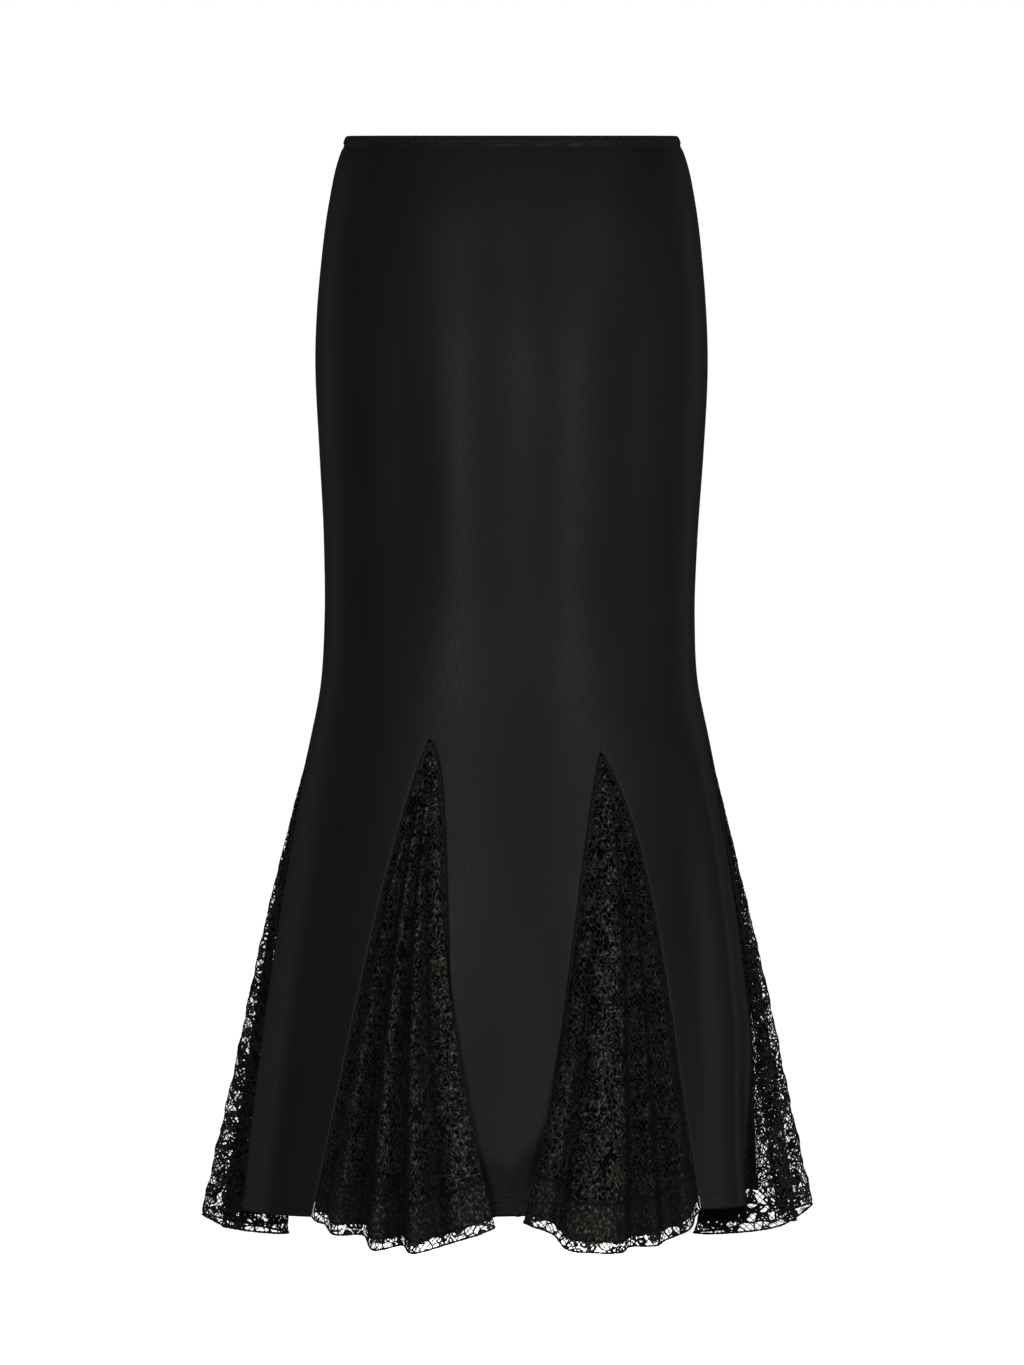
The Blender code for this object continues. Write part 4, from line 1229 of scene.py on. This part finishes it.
def rolled_hem(fan):
    """A thin tube along the lace's hem, closed at both ends, a little uneven as it is sewn."""
    flat = np.linspace(0.0, 1.0, 2400)
    path = godet_point(fan.godet, flat, np.ones(flat.shape))
    reach = np.concatenate([[0.0], np.cumsum(np.linalg.norm(np.diff(path, axis=0), axis=1))])
    count = int(reach[-1] / 0.0013)
    flat = np.interp(np.linspace(0.0, reach[-1], count), reach, flat)
    turn = (flat - 0.5) * fan.angle
    length = np.interp(flat, fan.flat, fan.lengths)
    path, normal = fan.point(length * np.sin(turn), length * np.cos(turn))
    tangent = unit(np.gradient(path, axis=0))
    side = unit(np.cross(tangent, normal))
    place = np.arange(count)
    swell = HEM_ROLL * (1 + 0.16 * np.sin(1.9 * place) + 0.12 * np.sin(0.61 * place + 1.0))
    turn = np.arange(8) * math.tau / 8
    rings = path[:, None] + swell[:, None, None] * (
        np.cos(turn)[None, :, None] * normal[:, None] + np.sin(turn)[None, :, None] * side[:,
            None])
    numbers = np.arange(count * 8).reshape(count, 8)
    looped = np.concatenate([numbers, numbers[:, :1]], axis=1)
    caps = np.stack([numbers[0], numbers[-1, ::-1]])
    name = fan.godet.name.replace("godet", "hem")
    return make_piece(name, rings.reshape(-1, 3), [grid_quads(looped), caps], hem_yarn)


styles = (LEFT_LACE, RIGHT_LACE, LEFT_SIDE_LACE, RIGHT_SIDE_LACE, BACK_LACE)
fans = [Fan(godet, style, order) for order, (godet, style) in enumerate(zip(GODETS, styles))]
sheets = [lace_sheet(fan) for fan in fans]
nets = [lace_net(fan) for fan in fans]
hems = [rolled_hem(fan) for fan in fans]

# %% [markdown]
# ## Put each piece on the body
#
# Every piece rides on the one body and takes the place of its solid. The size each
# sheet of cloth was cut to is printed.


def cloth_area(piece):
    """Area of one side of a piece of cloth in square metres."""
    depsgraph = bpy.context.evaluated_depsgraph_get()
    seen = piece.evaluated_get(depsgraph).to_mesh()
    areas = np.zeros(len(seen.polygons))
    seen.polygons.foreach_get("area", areas)
    piece.evaluated_get(depsgraph).to_mesh_clear()
    return float(areas.sum())


for piece, node, slot in ((satin_front, "front", "satin"), (satin_back, "back", "satin"),
                          (casing, "waistband", "casing")):
    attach(piece, "root")
    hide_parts(node)
for stitches in [waist_stitches] + hem_stitches:
    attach(stitches, "root")
for fan, sheet, net, hem in zip(fans, sheets, nets, hems):
    for piece in (sheet, net, hem):
        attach(piece, "root")
    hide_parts(fan.godet.name)
    chord = 2 * fan.widest * math.sin(fan.angle / 2)
    # The area is the cloth between the windows, or the least that a sheet may state.
    print(sheet.name, "flat mm", round(1000 * chord), round(1000 * fan.widest),
          "cloth", round(cloth_area(sheet), 4))
print("satin areas", round(cloth_area(satin_front) / 2, 4), round(cloth_area(satin_back) / 2, 4),
      "casing", round(cloth_area(casing), 4))
